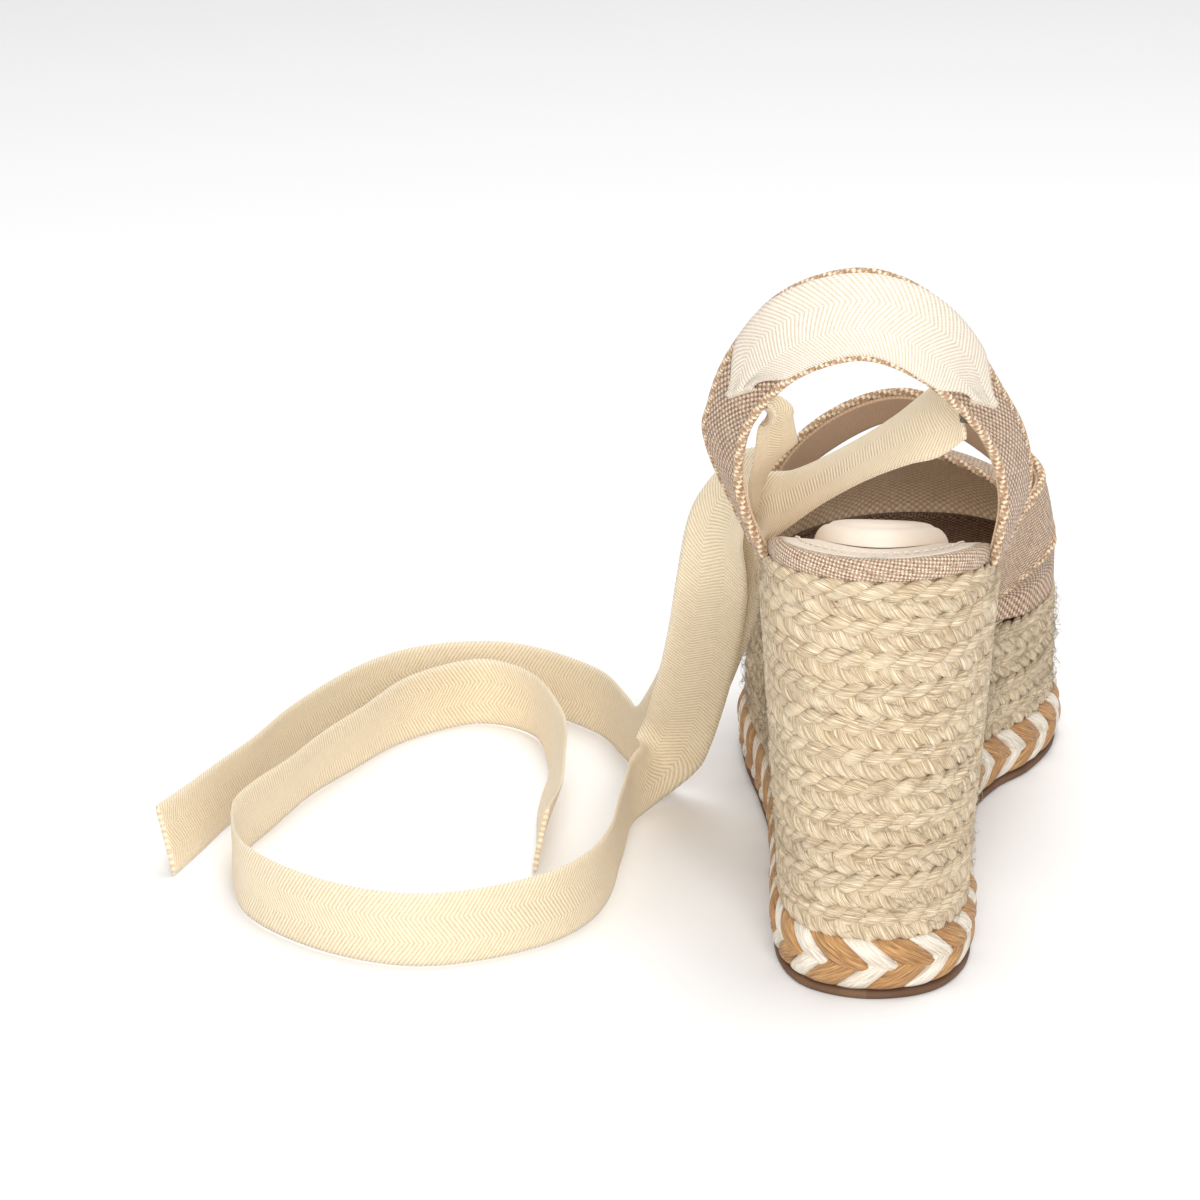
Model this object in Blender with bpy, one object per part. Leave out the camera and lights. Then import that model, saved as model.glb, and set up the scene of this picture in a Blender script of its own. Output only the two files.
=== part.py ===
"""Ankle-tie wedge sandal for the left foot.

The design is in millimetres and the meshes are in metres. +Y points to the toe, +X to the
inner (medial) side of the foot and +Z up. The origin is on the ground under the middle of
the sole. Points of an outline, an edge or a tape route are chosen by hand, and every other
point comes from them.
"""

import math

import bmesh
import bpy
import numpy as np

MM = 0.001
GAP = 0.3  # clearance between neighbouring pieces

# Sole: the ground outline of the jute wall, from the back of the heel by the inner side.
OUTLINE = [
    (0, -122.5), (15, -116.5), (22.5, -100), (23, -76), (21, -48), (19.5, -22), (20.5, 6),
    (27, 28), (35.5, 43), (41.5, 64), (41, 86), (34, 106), (20, 119), (4, 122.5),
    (-14, 118), (-29, 105), (-39, 86), (-43.5, 62), (-41, 38), (-35, 10), (-30, -18),
    (-27, -48), (-25, -76), (-22.5, -100), (-15, -116.5),
]
STATIONS = 56  # points round the sole
OUTSOLE_TOP = 2.0
OUTSOLE_LEDGE = 1.0
TRIM_TOP = 15.0
TRIM_LEDGE = 2.5
BRAID_DEPTH = 4.0
FLARE = 6.5  # how far the jute wall leans out from trim to rim at the heel
FLARE_HEIGHT = 94.0
FLARE_START = -70.0
FLARE_END = 30.0

# Top of the wedge under the footbed.
RIM_HEEL = 109.0
RIM_BALL = 45.0
RIM_BACK_Y = -125.0
RIM_RUN = 175.0
ROWS = 11
BALL_ROWS = 4  # rows that run all the way round the platform
ROW_BULGE = 0.9
ROW_MIN = 1.4  # a row ends where the footbed leaves less height than this

# Footbed, as heights over the top of the wedge.
BOARD = (0.3, 2.1)
FOAM = (2.4, 4.3)
COVER = (4.6, 5.5)
SOCK = (4.6, 5.8)
PAD_RISE = 5.0
PAD_CENTRE_Y = -86.0
PAD_HALF = (16.5, 27.0)
RIM_WALL = 2.6
RIM_HEIGHT = 5.6
RIM_INSET_BACK = 1.2
RIM_INSET_UPPER = 2.5
SOCK_END = 12  # pair of outline stations where the leather sock stops

# Upper: for each place along the foot, the outer side, the top and the inner side (x, z).
LAST = [
    (-60, (-34, 112), (2, 133), (33, 119)),
    (-20, (-32, 101), (1, 127), (36, 109)),
    (0, (-31, 99), (2, 120), (38.5, 95)),
    (20, (-35, 83), (3, 108), (40, 80)),
    (40, (-38.5, 66), (4, 91), (40.5, 66)),
    (60, (-41, 58.5), (3, 79), (41, 60)),
    (92, (-36, 53), (4, 64), (38, 55)),
    (110, (-29, 51), (6, 58), (33, 52)),
]
UPPER_INSET = 1.8
UPPER_LIFT = 1.0
# Edges of the panels as (share of the way from the outer to the inner side, y).
THROAT_EDGE = [(0, -16), (0.2, -9), (0.5, 0), (0.7, -6), (0.85, -22), (1, -50)]
STRAP_FRONT_EDGE = [(0, 12), (0.12, 16), (0.3, 20), (0.5, 20), (0.7, 21), (0.88, 16), (1, 12)]
VAMP_REAR_EDGE = [(0, 14), (0.12, 18.2), (0.3, 31), (0.5, 39), (0.7, 31), (0.88, 18.2), (1, 14)]
TOE_ROUNDING = (1.35, 2.2)  # power of the toe box profile, at the middle and at the sides
STRAP_LAYER = (0.0, 1.3)
LINING_LAYER = (-1.1, -0.3)
BINDING_RADIUS = 1.0
LINING_SPAN = (0.14, 0.84)  # the lining stops short of the glued margins

# Heel strap: lower rear edge and upper front edge, from the outer to the inner side.
STRAP_LOW = [
    (-32.5, -102, 120), (-33, -105, 133), (-29, -111, 145), (-19, -118.5, 157),
    (-4, -122.5, 163), (9, -121, 158.5), (19.5, -114, 148), (26.5, -107, 136),
    (29.3, -103, 122),
]
STRAP_HIGH = [
    (-43, -72, 125), (-42, -83, 140), (-35.5, -98, 158), (-23, -111.5, 175.5),
    (-6, -117, 183), (8, -115, 179), (18.5, -107.5, 167), (27, -94, 149.5),
    (33.5, -76, 131), (34, -62, 112),
]
STRAP_BASE_REAR = -100.0
STRAP_BASE_FRONT = -54.0
STRAP_BASE_LIFT = 0.6
STRAP_BULGE = 0.5
HEEL_STRAP_LAYER = (0.0, 1.2)
STRAP_END_LAYER = (0.0, 1.2)
STRAP_SPAN = (0.02, 0.98)  # the folding part, as shares of the way along the strap
STRAP_END_SPANS = ((0.0, 0.26), (0.74, 1.0))
BINDING_SHARE = 0.06  # width of each bound edge as a share of the strap's width
END_MARGIN = 0.02

# The fold line of the heel strap, across the foot.
FOLD_Y = -86.0
FOLD_Z = 127.5
FOLD_RADIUS = 20.0
FOLD_GAP = 0.7
FOLD_BLOCK_X = 90.0
FOLD_BLOCK_Y = (-180.0, 30.0)
FOLD_BLOCK_Z = (60.0, 260.0)

# Ankle tape and the slots it runs through.
TAPE_WIDTH = 19.5
TAPE_THICK = 1.0
# Each slot's centre, as shares of the way along the strap and from its lower edge, and its
# turn in degrees from straight across the strap towards the strap's end.
SLOT_LATERAL = (0.275, 0.30, -62)
SLOT_MEDIAL = (0.728, 0.28, 62)
SLOT_LENGTH = 16.0
SLOT_WIDTH = 2.6
SLOT_REACH = 6.0  # how far the cutting block stands out on both sides of the strap
FACING = (6.5, 18.6, 0.5)
FACING_DROP = 0.7  # extra room between the lining and a facing
TAIL_STEPS = 84

# Tape routes: centre of the tape and the direction of its width, slot end first.
TAIL_MEDIAL = [
    ((16.4, -101.5, 143.5), (-0.35, 0.60, 0.72)),
    ((9, -92.5, 138), (-0.05, 0.80, 0.60)),
    ((-1, -81, 129), (0.15, 0.85, 0.50)),
    ((-13, -68.5, 118), (0.12, 0.88, 0.42)),
    ((-25, -57, 107), (-0.10, 0.90, 0.38)),
    ((-33, -47, 100.5), (-0.40, 0.82, 0.32)),
    ((-37.5, -36, 88), (-0.72, 0.64, 0.20)),
    ((-42.5, -25.5, 73.5), (-0.93, 0.30, 0.10)),
    ((-48.5, -12, 53), (-0.98, 0.05, 0.12)),
    ((-55.5, 4, 33), (-0.92, 0.0, 0.35)),
    ((-63, 16, 18), (-0.50, 0.0, 0.85)),
    ((-70, 27, 11), (-0.12, 0.0, 1.0)),
    ((-76, 40, 10.2), (0, 0, 1)),
    ((-86, 60, 10.2), (0, 0, 1)),
    ((-103, 76, 10.2), (0, 0, 1)),
    ((-121, 81, 10.2), (0, 0, 1)),
    ((-141, 72, 10.2), (0, 0, 1)),
    ((-157, 46, 10.2), (0.05, 0, 1)),
    ((-168, 16, 10.2), (0.05, 0, 1)),
    ((-175.5, -14, 10.2), (0, 0, 1)),
    ((-180.5, -38, 10.2), (-0.10, 0, 1)),
    ((-186, -60, 10.2), (-0.25, 0, 1)),
]
TAIL_LATERAL = [
    ((-26.3, -91.5, 137), (0.70, 0.70, -0.05)),
    ((-27.4, -80, 125), (0.62, 0.76, 0.20)),
    ((-31.5, -61, 113.5), (-0.05, 0.92, 0.40)),
    ((-38, -48.5, 107), (-0.40, 0.85, 0.32)),
    ((-44, -40.5, 94), (-0.75, 0.62, 0.18)),
    ((-46, -33, 76), (-0.95, 0.25, 0.10)),
    ((-49.5, -18, 55), (-0.98, 0.05, 0.12)),
    ((-54.5, -4, 34), (-0.92, -0.05, 0.35)),
    ((-60, 5, 17), (-0.45, -0.10, 0.88)),
    ((-65.5, 1, 10.6), (-0.10, -0.05, 1.0)),
    ((-69, -12, 10.2), (0, 0, 1)),
    ((-69, -38, 10.2), (0, 0, 1)),
    ((-72.5, -78, 10.2), (0, 0, 1)),
    ((-88, -103, 10.2), (0, 0, 1)),
    ((-111, -115.5, 10.2), (0, 0, 1)),
    ((-138, -107.5, 10.2), (0, 0, 1)),
    ((-160, -85, 10.2), (0, 0, 1)),
    ((-169, -60, 10.2), (0, 0, 1)),
    ((-168, -40, 10.2), (0.10, 0, 1)),
    ((-160, -12, 10.2), (0.22, 0, 1)),
    ((-149, 20, 10.2), (0.20, 0, 1)),
    ((-137, 50, 10.2), (0.05, 0, 1)),
    ((-120, 65, 10.2), (0, 0, 1)),
    ((-104, 55, 10.2), (-0.05, -0.05, 1)),
    ((-95, 30, 10.2), (0.15, 0, 1)),
    ((-91, 2, 10.2), (0.40, 0, 1)),
    ((-89, -26, 10.2), (0.40, 0, 1)),
    ((-89, -50, 10.2), (0.2, 0, 1)),
]

# Colour, roughness and metallic value of each finish.
FINISHES = {
    "rubber": ((0.16, 0.09, 0.05), 0.75),
    "trim": ((0.58, 0.34, 0.14), 0.85),
    "core": ((0.55, 0.40, 0.26), 0.9),
    "jute": ((0.72, 0.58, 0.37), 0.9),
    "board": ((0.48, 0.36, 0.24), 0.9),
    "foam": ((0.80, 0.74, 0.62), 0.95),
    "linen": ((0.62, 0.46, 0.34), 0.85),
    "lining": ((0.60, 0.44, 0.33), 0.8),
    "leather": ((0.76, 0.66, 0.54), 0.55),
    "binding": ((0.66, 0.50, 0.36), 0.85),
    "facing": ((0.20, 0.18, 0.13), 0.8),
    "tape": ((0.82, 0.72, 0.55), 0.75),
}


# ---- curves and numbers ----------------------------------------------------------------

def smoothstep(value, start, end):
    share = np.clip((np.asarray(value, float) - start) / (end - start), 0.0, 1.0)
    return share * share * (3.0 - 2.0 * share)


def curve(points, count, closed=False):
    """Points at even steps along a smooth curve through the given points."""
    p = np.asarray(points, float)
    if closed:
        p = np.vstack([p[-1], p, p[0], p[1]])
    else:
        p = np.vstack([2 * p[0] - p[1], p, 2 * p[-1] - p[-2]])
    fine = []
    for a, b, c, d in zip(p[:-3], p[1:-2], p[2:-1], p[3:]):
        u = np.linspace(0, 1, 24, endpoint=False)[:, None]
        fine.append(0.5 * (2 * b + (c - a) * u + (2 * a - 5 * b + 4 * c - d) * u ** 2
                           + (3 * b - a - 3 * c + d) * u ** 3))
    fine = np.vstack(fine + [p[-2][None, :]])
    steps = np.linalg.norm(np.diff(fine[:, :3], axis=0), axis=1)
    along = np.concatenate([[0], np.cumsum(steps)])
    where = np.linspace(0, along[-1], count, endpoint=not closed)
    return np.stack([np.interp(where, along, fine[:, i]) for i in range(fine.shape[1])], 1)


def smooth_value(table, value):
    """A smooth curve through (position, value) pairs, read at the given positions."""
    keys = np.array([row[0] for row in table], float)
    data = np.array([row[1] for row in table], float)
    slope = np.gradient(data, keys)
    i = np.clip(np.searchsorted(keys, value, side="right") - 1, 0, len(keys) - 2)
    span = keys[i + 1] - keys[i]
    u = np.clip((value - keys[i]) / span, 0.0, 1.0)
    return (data[i] * (1 + 2 * u) * (1 - u) ** 2 + slope[i] * span * u * (1 - u) ** 2
            + data[i + 1] * u * u * (3 - 2 * u) + slope[i + 1] * span * u * u * (u - 1))


def unit(vectors):
    return vectors / np.linalg.norm(vectors, axis=-1, keepdims=True)


# ---- the sole's outline ----------------------------------------------------------------

GROUND = curve(OUTLINE, STATIONS, closed=True)
_ahead = unit(np.roll(GROUND, -1, 0) - np.roll(GROUND, 1, 0))
OUTWARD = np.stack([_ahead[:, 1], -_ahead[:, 0]], 1)


def rim_height(y):
    drop = RIM_HEEL - RIM_BALL
    return RIM_HEEL - drop * smoothstep(y, RIM_BACK_Y, RIM_BACK_Y + RIM_RUN)


def ring(z, grow=0.0):
    """The jute wall's outline at height z, grown outward by grow: STATIONS points."""
    lean = FLARE * (1 - smoothstep(GROUND[:, 1], FLARE_START, FLARE_END))
    height = np.clip((np.asarray(z, float) - TRIM_TOP) / FLARE_HEIGHT, 0.0, 1.0)
    xy = GROUND + OUTWARD * (lean * height + grow)[:, None]
    return np.column_stack([xy, np.broadcast_to(z, STATIONS)])


def footbed_ring(rise, grow=0.0):
    """The outline at the top of the wedge, rise above it and grown by grow."""
    top = ring(rim_height(GROUND[:, 1]), grow)
    top[:, 2] = rim_height(top[:, 1]) + rise
    return top


def rim_inset(y):
    under_upper = smoothstep(y, -112, -102)
    return RIM_INSET_BACK + (RIM_INSET_UPPER - RIM_INSET_BACK) * under_upper


TOP = footbed_ring(0.0)
HALF = STATIONS // 2


def side_point(y, side, inset):
    """The wall's top edge at y on the inner (+1) or outer (-1) side, moved in by inset."""
    edge = footbed_ring(0.0, -inset)
    half = edge[2:HALF - 1] if side > 0 else edge[HALF + 2:][::-1]
    x = np.interp(y, half[:, 1], half[:, 0])
    return np.stack([x, np.asarray(y, float), rim_height(y) + UPPER_LIFT], -1)


# ---- meshes ----------------------------------------------------------------------------

def clear_scene():
    for obj in list(bpy.data.objects):
        bpy.data.objects.remove(obj, do_unlink=True)


def finish(name):
    made = bpy.data.materials.get(name)
    if made:
        return made
    colour, roughness = FINISHES[name]
    made = bpy.data.materials.new(name)
    made.use_nodes = True
    shader = made.node_tree.nodes["Principled BSDF"]
    shader.inputs["Base Color"].default_value = (*colour, 1.0)
    shader.inputs["Roughness"].default_value = roughness
    shader.inputs["Metallic"].default_value = 0.0
    return made


def add_solid(name, points, faces, look):
    mesh = bpy.data.meshes.new(name)
    mesh.from_pydata([tuple(p) for p in np.asarray(points) * MM], [], faces)
    bm = bmesh.new()
    bm.from_mesh(mesh)
    bmesh.ops.remove_doubles(bm, verts=bm.verts, dist=0.00001)
    bmesh.ops.recalc_face_normals(bm, faces=bm.faces)
    bm.to_mesh(mesh)
    bm.free()
    mesh.shade_smooth()
    mesh.set_sharp_from_angle(angle=math.radians(40))
    obj = bpy.data.objects.new(name, mesh)
    obj.data.materials.append(finish(look))
    bpy.context.scene.collection.objects.link(obj)
    return obj


def loft(name, sections, look, closed=False):
    """A solid swept through closed sections, each with the same number of points."""
    n, m = sections.shape[:2]
    faces = []
    for i in range(n if closed else n - 1):
        k = (i + 1) % n
        faces += [(i * m + j, i * m + (j + 1) % m, k * m + (j + 1) % m, k * m + j)
                  for j in range(m)]
    if not closed:
        faces += [tuple(range(m)), tuple(range((n - 1) * m, n * m))]
    return add_solid(name, sections.reshape(-1, 3), faces, look)


def sheet(name, outer, inner, look):
    """A solid between two grids of points that face each other."""
    n, m = outer.shape[:2]
    faces = []
    for base in (0, n * m):
        faces += [(base + i * m + j, base + i * m + j + 1, base + (i + 1) * m + j + 1,
                   base + (i + 1) * m + j) for i in range(n - 1) for j in range(m - 1)]
    edge = [i * m for i in range(n)]
    edge += [(n - 1) * m + j for j in range(1, m)]
    edge += [i * m + m - 1 for i in range(n - 2, -1, -1)]
    edge += list(range(m - 2, 0, -1))
    for a, b in zip(edge, edge[1:] + edge[:1]):
        faces.append((a, b, b + n * m, a + n * m))
    points = np.vstack([outer.reshape(-1, 3), inner.reshape(-1, 3)])
    return add_solid(name, points, faces, look)


def slab(name, bottom, top, look, first=0, last=HALF):
    """A solid between two outline rings, from one cross pair of stations to another."""
    rows = []
    for k in range(first, last + 1):
        a, b = k, (STATIONS - k) % STATIONS
        rows.append([bottom[a], bottom[b], top[b], top[a]])
    return loft(name, np.array(rows), look)


def band(inner, outer, low, high, bulge):
    """The sections of a ring between two outlines, rounded outward by bulge."""
    middle = (low + high) / 2
    rows = [
        np.column_stack([inner[:, :2], low]),
        np.column_stack([outer[:, :2], low]),
        np.column_stack([outer[:, :2] + OUTWARD * bulge, middle]),
        np.column_stack([outer[:, :2], high]),
        np.column_stack([inner[:, :2], high]),
    ]
    return np.stack(rows, 1)


def tube(name, points, radius, look, sides=6):
    ahead = unit(np.gradient(points, axis=0))
    side = unit(np.cross(ahead, np.array([0.05, 0.08, 1.0])))
    up = np.cross(side, ahead)
    turns = np.arange(sides) * 2 * math.pi / sides
    sections = (points[:, None] + radius * (np.cos(turns)[None, :, None] * side[:, None]
                                            + np.sin(turns)[None, :, None] * up[:, None]))
    return loft(name, sections, look)


def ribbon(name, centres, across, look, width=TAPE_WIDTH, thick=TAPE_THICK):
    """A flat tape along the centres, with its width in the direction across."""
    ahead = unit(np.gradient(centres, axis=0))
    across = unit(across - ahead * np.sum(across * ahead, 1)[:, None])
    out = np.cross(ahead, across)
    corners = [(-0.5, -0.5), (0.5, -0.5), (0.5, 0.5), (-0.5, 0.5)]
    rows = [centres + across * (width * u) + out * (thick * v) for u, v in corners]
    return loft(name, np.stack(rows, 1), look)


def cut(obj, cutter):
    modifier = obj.modifiers.new("cut", "BOOLEAN")
    modifier.operation = "DIFFERENCE"
    modifier.solver = "EXACT"
    modifier.object = cutter


def as_cutter(obj):
    obj.hide_render = True
    obj.display_type = "WIRE"
    return obj


# ---- sole ------------------------------------------------------------------------------

def make_outsole():
    low = ring(0.0, OUTSOLE_LEDGE)
    high = ring(OUTSOLE_TOP, OUTSOLE_LEDGE)
    slab("rubber_outsole", low, high, "rubber")


def make_trim():
    low = np.full(STATIONS, OUTSOLE_TOP + GAP)
    high = np.full(STATIONS, TRIM_TOP - GAP)
    inner = ring(0.0, -BRAID_DEPTH)
    outer = ring(0.0, TRIM_LEDGE - ROW_BULGE)
    loft("trim_braid", band(inner, outer, low, high, ROW_BULGE), "trim", closed=True)


def make_core():
    low = ring(OUTSOLE_TOP + GAP, -BRAID_DEPTH - GAP)
    foot = ring(TRIM_TOP, -BRAID_DEPTH - GAP)
    high = footbed_ring(0.0, -BRAID_DEPTH - GAP)
    rows = []
    for k in range(HALF + 1):
        a, b = k, (STATIONS - k) % STATIONS
        rows.append([low[a], low[b], foot[b], high[b], high[a], foot[a]])
    loft("wedge_core", np.array(rows), "core")


def row_level(row, y):
    """Height of the seam under a jute row: rows are lower round the platform."""
    heel_step = (RIM_HEEL - GAP - TRIM_TOP) / ROWS
    ball_step = (RIM_BALL - TRIM_TOP) / BALL_ROWS
    step = heel_step + (ball_step - heel_step) * smoothstep(y, -60, 40)
    return TRIM_TOP + row * step


def make_jute_rows():
    y = GROUND[:, 1]
    for row in range(ROWS):
        low = row_level(row, y) + GAP / 2
        top = rim_height(TOP[:, 1]) - GAP / 2
        high = np.minimum(row_level(row + 1, y) - GAP / 2, top)
        open_row = (high - low) > ROW_MIN
        inner_low = ring(low, -BRAID_DEPTH)
        outer_low = ring(low, -ROW_BULGE)
        inner_high = ring(high, -BRAID_DEPTH)
        outer_high = ring(high, -ROW_BULGE)
        belly = (outer_low + outer_high) / 2
        belly[:, :2] += OUTWARD * ROW_BULGE
        sections = np.stack([inner_low, outer_low, belly, outer_high, inner_high], 1)
        name = f"jute_row_{row + 1:02d}"
        if open_row.all():
            loft(name, sections, "jute", closed=True)
            continue
        ends = np.flatnonzero(~open_row)
        order = [(ends[-1] + 1 + i) % STATIONS for i in range(STATIONS)]
        order = [i for i in order if open_row[i]]
        loft(name, sections[order], "jute")


# ---- footbed ---------------------------------------------------------------------------

def footbed_layer(name, heights, look, first=0, last=HALF):
    inset = rim_inset(TOP[:, 1]) + RIM_WALL + GAP
    low = footbed_ring(heights[0], -inset)
    high = footbed_ring(heights[1], -inset)
    slab(name, low, high, look, first, last)


def make_rim_wrap():
    inset = rim_inset(TOP[:, 1])
    inner = footbed_ring(0, -inset - RIM_WALL)
    outer = footbed_ring(0, -inset)
    rows = []
    for offset, rise in ((1.0, 0), (0.0, 0), (0.0, 0.8), (0.25, 1), (0.75, 1), (1.0, 0.8)):
        points = outer * (1 - offset) + inner * offset
        points[:, 2] = rim_height(points[:, 1]) + GAP + (RIM_HEIGHT - GAP) * rise
        rows.append(points)
    loft("insole_rim_wrap", np.stack(rows, 1), "linen", closed=True)


def make_heel_pad():
    half_width, half_length = PAD_HALF
    rows = []
    for share in np.sin(np.linspace(-math.pi / 2, math.pi / 2, 17)):
        y = PAD_CENTRE_Y + half_length * share
        half = half_width * math.sqrt(max(0.0, 1 - share * share))
        base = rim_height(y) + SOCK[1] + GAP
        edge = PAD_RISE * (1 - abs(share) ** 6)
        rows.append([(-half, y, base), (half, y, base), (half * 0.93, y, base + edge * 0.6),
                     (half * 0.7, y, base + edge), (-half * 0.7, y, base + edge),
                     (-half * 0.93, y, base + edge * 0.6)])
    loft("heel_pad", np.array(rows), "leather")


def make_footbed():
    footbed_layer("insole_board", BOARD, "board")
    footbed_layer("insole_foam", FOAM, "foam")
    footbed_layer("heel_sock", SOCK, "leather", 0, SOCK_END)
    inset = rim_inset(TOP[:, 1]) + RIM_WALL + GAP
    low = footbed_ring(COVER[0], -inset)
    high = footbed_ring(COVER[1], -inset)
    for level in (low, high):
        level[[SOCK_END, STATIONS - SOCK_END], 1] += GAP * 1.5
    slab("insole_cover", low, high, "linen", SOCK_END, HALF)
    make_rim_wrap()
    make_heel_pad()


# ---- forefoot upper --------------------------------------------------------------------

def last_point(share, y):
    """A point of the foot-shaped surface: share 0 is the outer edge, 1 the inner edge."""
    share, y = np.broadcast_arrays(np.asarray(share, float), np.asarray(y, float))
    outer = side_point(y, -1, UPPER_INSET)
    inner = side_point(y, 1, UPPER_INSET)
    ribs = [outer]
    for part in (1, 2, 3):
        x = smooth_value([(row[0], row[part][0]) for row in LAST], y)
        z = smooth_value([(row[0], row[part][1]) for row in LAST], y)
        ribs.append(np.stack([x, y, z], -1))
    ribs.append(inner)
    # a curve through the two edges, the two sides and the top, at shares 0, 1/4, 1/2 ...
    padded = [2 * ribs[0] - ribs[1], *ribs, 2 * ribs[-1] - ribs[-2]]
    padded = np.stack(padded, 0)
    k = np.clip((share * 4).astype(int), 0, 3)
    u = (share * 4 - k)[..., None]
    index = np.indices(k.shape)
    a, b, c, d = (padded[(k + i, *index)] for i in range(4))
    return 0.5 * (2 * b + (c - a) * u + (2 * a - 5 * b + 4 * c - d) * u ** 2
                  + (3 * b - a - 3 * c + d) * u ** 3)


def last_normal(share, y):
    d = 0.01
    across = last_point(np.clip(share + d, 0, 1), y) - last_point(np.clip(share - d, 0, 1), y)
    ahead = last_point(share, y + 1.0) - last_point(share, y - 1.0)
    return unit(np.cross(ahead, across) * np.array([-1.0, -1.0, -1.0]))


def edge_y(edge, share):
    return smooth_value(edge, np.asarray(share, float))


def edge_slant(edge, share):
    """How much longer a step across a slanted edge is when it is measured along y."""
    d = 0.01
    y = edge_y(edge, share)
    run = np.linalg.norm(last_point(np.clip(share + d, 0, 1), y)
                         - last_point(np.clip(share - d, 0, 1), y), axis=-1)
    rise = edge_y(edge, np.clip(share + d, 0, 1)) - edge_y(edge, np.clip(share - d, 0, 1))
    return np.hypot(1, rise / run)


def panel(name, rear, front, layer, look, shares, trim_rear=0.0, along=8):
    share = np.repeat(np.asarray(shares)[:, None], along + 1, 1)
    blend = np.linspace(0, 1, along + 1)[None, :]
    start = edge_y(rear, share) + trim_rear * edge_slant(rear, share)
    y = start * (1 - blend) + edge_y(front, share) * blend
    surface = last_point(share, y)
    normal = last_normal(share, y)
    sheet(name, surface + normal * layer[1], surface + normal * layer[0], look)


def toe_path(count):
    """The base of the toe vamp, from its outer rear corner round the toe to its inner one."""
    edge = footbed_ring(UPPER_LIFT, -UPPER_INSET)
    corners = [side_point(edge_y(VAMP_REAR_EDGE, share), side, UPPER_INSET)
               for share, side in ((0, -1), (1, 1))]
    half = edge[2:HALF - 1], edge[HALF - 1:STATIONS - 1]
    ahead = np.vstack([half[0][half[0][:, 1] > corners[1][1] + 4],
                       half[1][half[1][:, 1] > corners[0][1] + 4]])[::-1]
    return curve([corners[0], *ahead, corners[1]], count)


def make_toe_vamp(count=41, steps=11):
    share = np.linspace(0, 1, count)
    rear = last_point(share, edge_y(VAMP_REAR_EDGE, share))
    foot = toe_path(count)
    base = foot + np.array([0.0, 0.0, RIM_HEIGHT])
    rear[:, 2] = np.maximum(rear[:, 2], base[:, 2])
    power = TOE_ROUNDING[0] + (TOE_ROUNDING[1] - TOE_ROUNDING[0]) * abs(2 * share - 1) ** 1.5
    turn = np.linspace(0, 1, steps) * math.pi / 2
    ahead = np.sin(turn)[None, :] ** (2 / power[:, None])
    down = np.cos(turn)[None, :] ** (2 / power[:, None])
    surface = np.zeros((count, steps, 3))
    surface[..., :2] = rear[:, None, :2] + (base - rear)[:, None, :2] * ahead[..., None]
    surface[..., 2] = base[:, None, 2] + (rear - base)[:, None, 2] * down
    surface = np.concatenate([surface, foot[:, None]], 1)
    normal = np.cross(np.gradient(surface, axis=0), np.gradient(surface, axis=1))
    normal[[0, -1]] = normal[[1, -2]]  # the corners come to a point
    normal = unit(normal * np.sign(normal[count // 2, steps // 2, 2]))
    sheet("toe_vamp", surface + normal * STRAP_LAYER[1], surface + normal * STRAP_LAYER[0],
          "linen")


def make_forefoot_upper():
    make_toe_vamp()
    shares = np.linspace(0, 1, 25)
    trimmed = 2 * BINDING_RADIUS + GAP
    panel("instep_strap", THROAT_EDGE, STRAP_FRONT_EDGE, STRAP_LAYER, "linen", shares,
          trim_rear=trimmed, along=6)
    lining = np.linspace(*LINING_SPAN, 18)
    panel("instep_strap_lining", THROAT_EDGE, STRAP_FRONT_EDGE, LINING_LAYER, "lining",
          lining, trim_rear=trimmed + 1.0, along=4)
    share = np.linspace(0, 1, 49)
    y = edge_y(THROAT_EDGE, share) + BINDING_RADIUS * edge_slant(THROAT_EDGE, share)
    middle = (STRAP_LAYER[0] + STRAP_LAYER[1]) / 2
    points = last_point(share, y) + last_normal(share, y) * middle
    points[[0, -1], 2] += BINDING_RADIUS
    tube("vamp_throat_binding", points, BINDING_RADIUS, "binding")


# ---- heel strap ------------------------------------------------------------------------

def strap_edges(count):
    lift = np.array([0.0, 0.0, STRAP_BASE_LIFT])
    rear = [side_point(STRAP_BASE_REAR, side, UPPER_INSET) + lift for side in (-1, 1)]
    front = [side_point(STRAP_BASE_FRONT, side, UPPER_INSET) + lift for side in (-1, 1)]
    low = curve([rear[0], *STRAP_LOW, rear[1]], count)
    high = curve([front[0], *STRAP_HIGH, front[1]], count)
    return low, high


STRAP_FINE = 241
STRAP_END_SHARE = 0.12
EDGE_LOW, EDGE_HIGH = strap_edges(STRAP_FINE)


def strap_point(share, width_share):
    """share runs along the strap, width_share from its lower to its upper edge."""
    place = np.asarray(share, float) * (STRAP_FINE - 1)
    grid = np.arange(STRAP_FINE)
    low = np.stack([np.interp(place, grid, EDGE_LOW[:, i]) for i in range(3)], -1)
    high = np.stack([np.interp(place, grid, EDGE_HIGH[:, i]) for i in range(3)], -1)
    w = np.asarray(width_share, float)[..., None]
    flat = low * (1 - w) + high * w
    base = rim_height(flat[..., 1]) + UPPER_LIFT + STRAP_BASE_LIFT
    flat[..., 2] = np.maximum(flat[..., 2], base)
    # near its ends the strap follows the curve of the sole's edge
    for side, end in ((-1, 0), (1, -1)):
        near = np.clip(1 - np.abs(place / (STRAP_FINE - 1) + end) / STRAP_END_SHARE, 0, 1)
        chord = EDGE_LOW[end, 0] * (1 - w) + EDGE_HIGH[end, 0] * w
        edge = side_point(flat[..., 1], side, UPPER_INSET)[..., 0]
        flat[..., 0] += near * (edge - chord[..., 0])
    out = flat * np.array([1.0, 1.0, 0.0]) - np.array([0.0, -75.0, 0.0])
    return flat + unit(out) * STRAP_BULGE * 4 * w * (1 - w)


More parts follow.
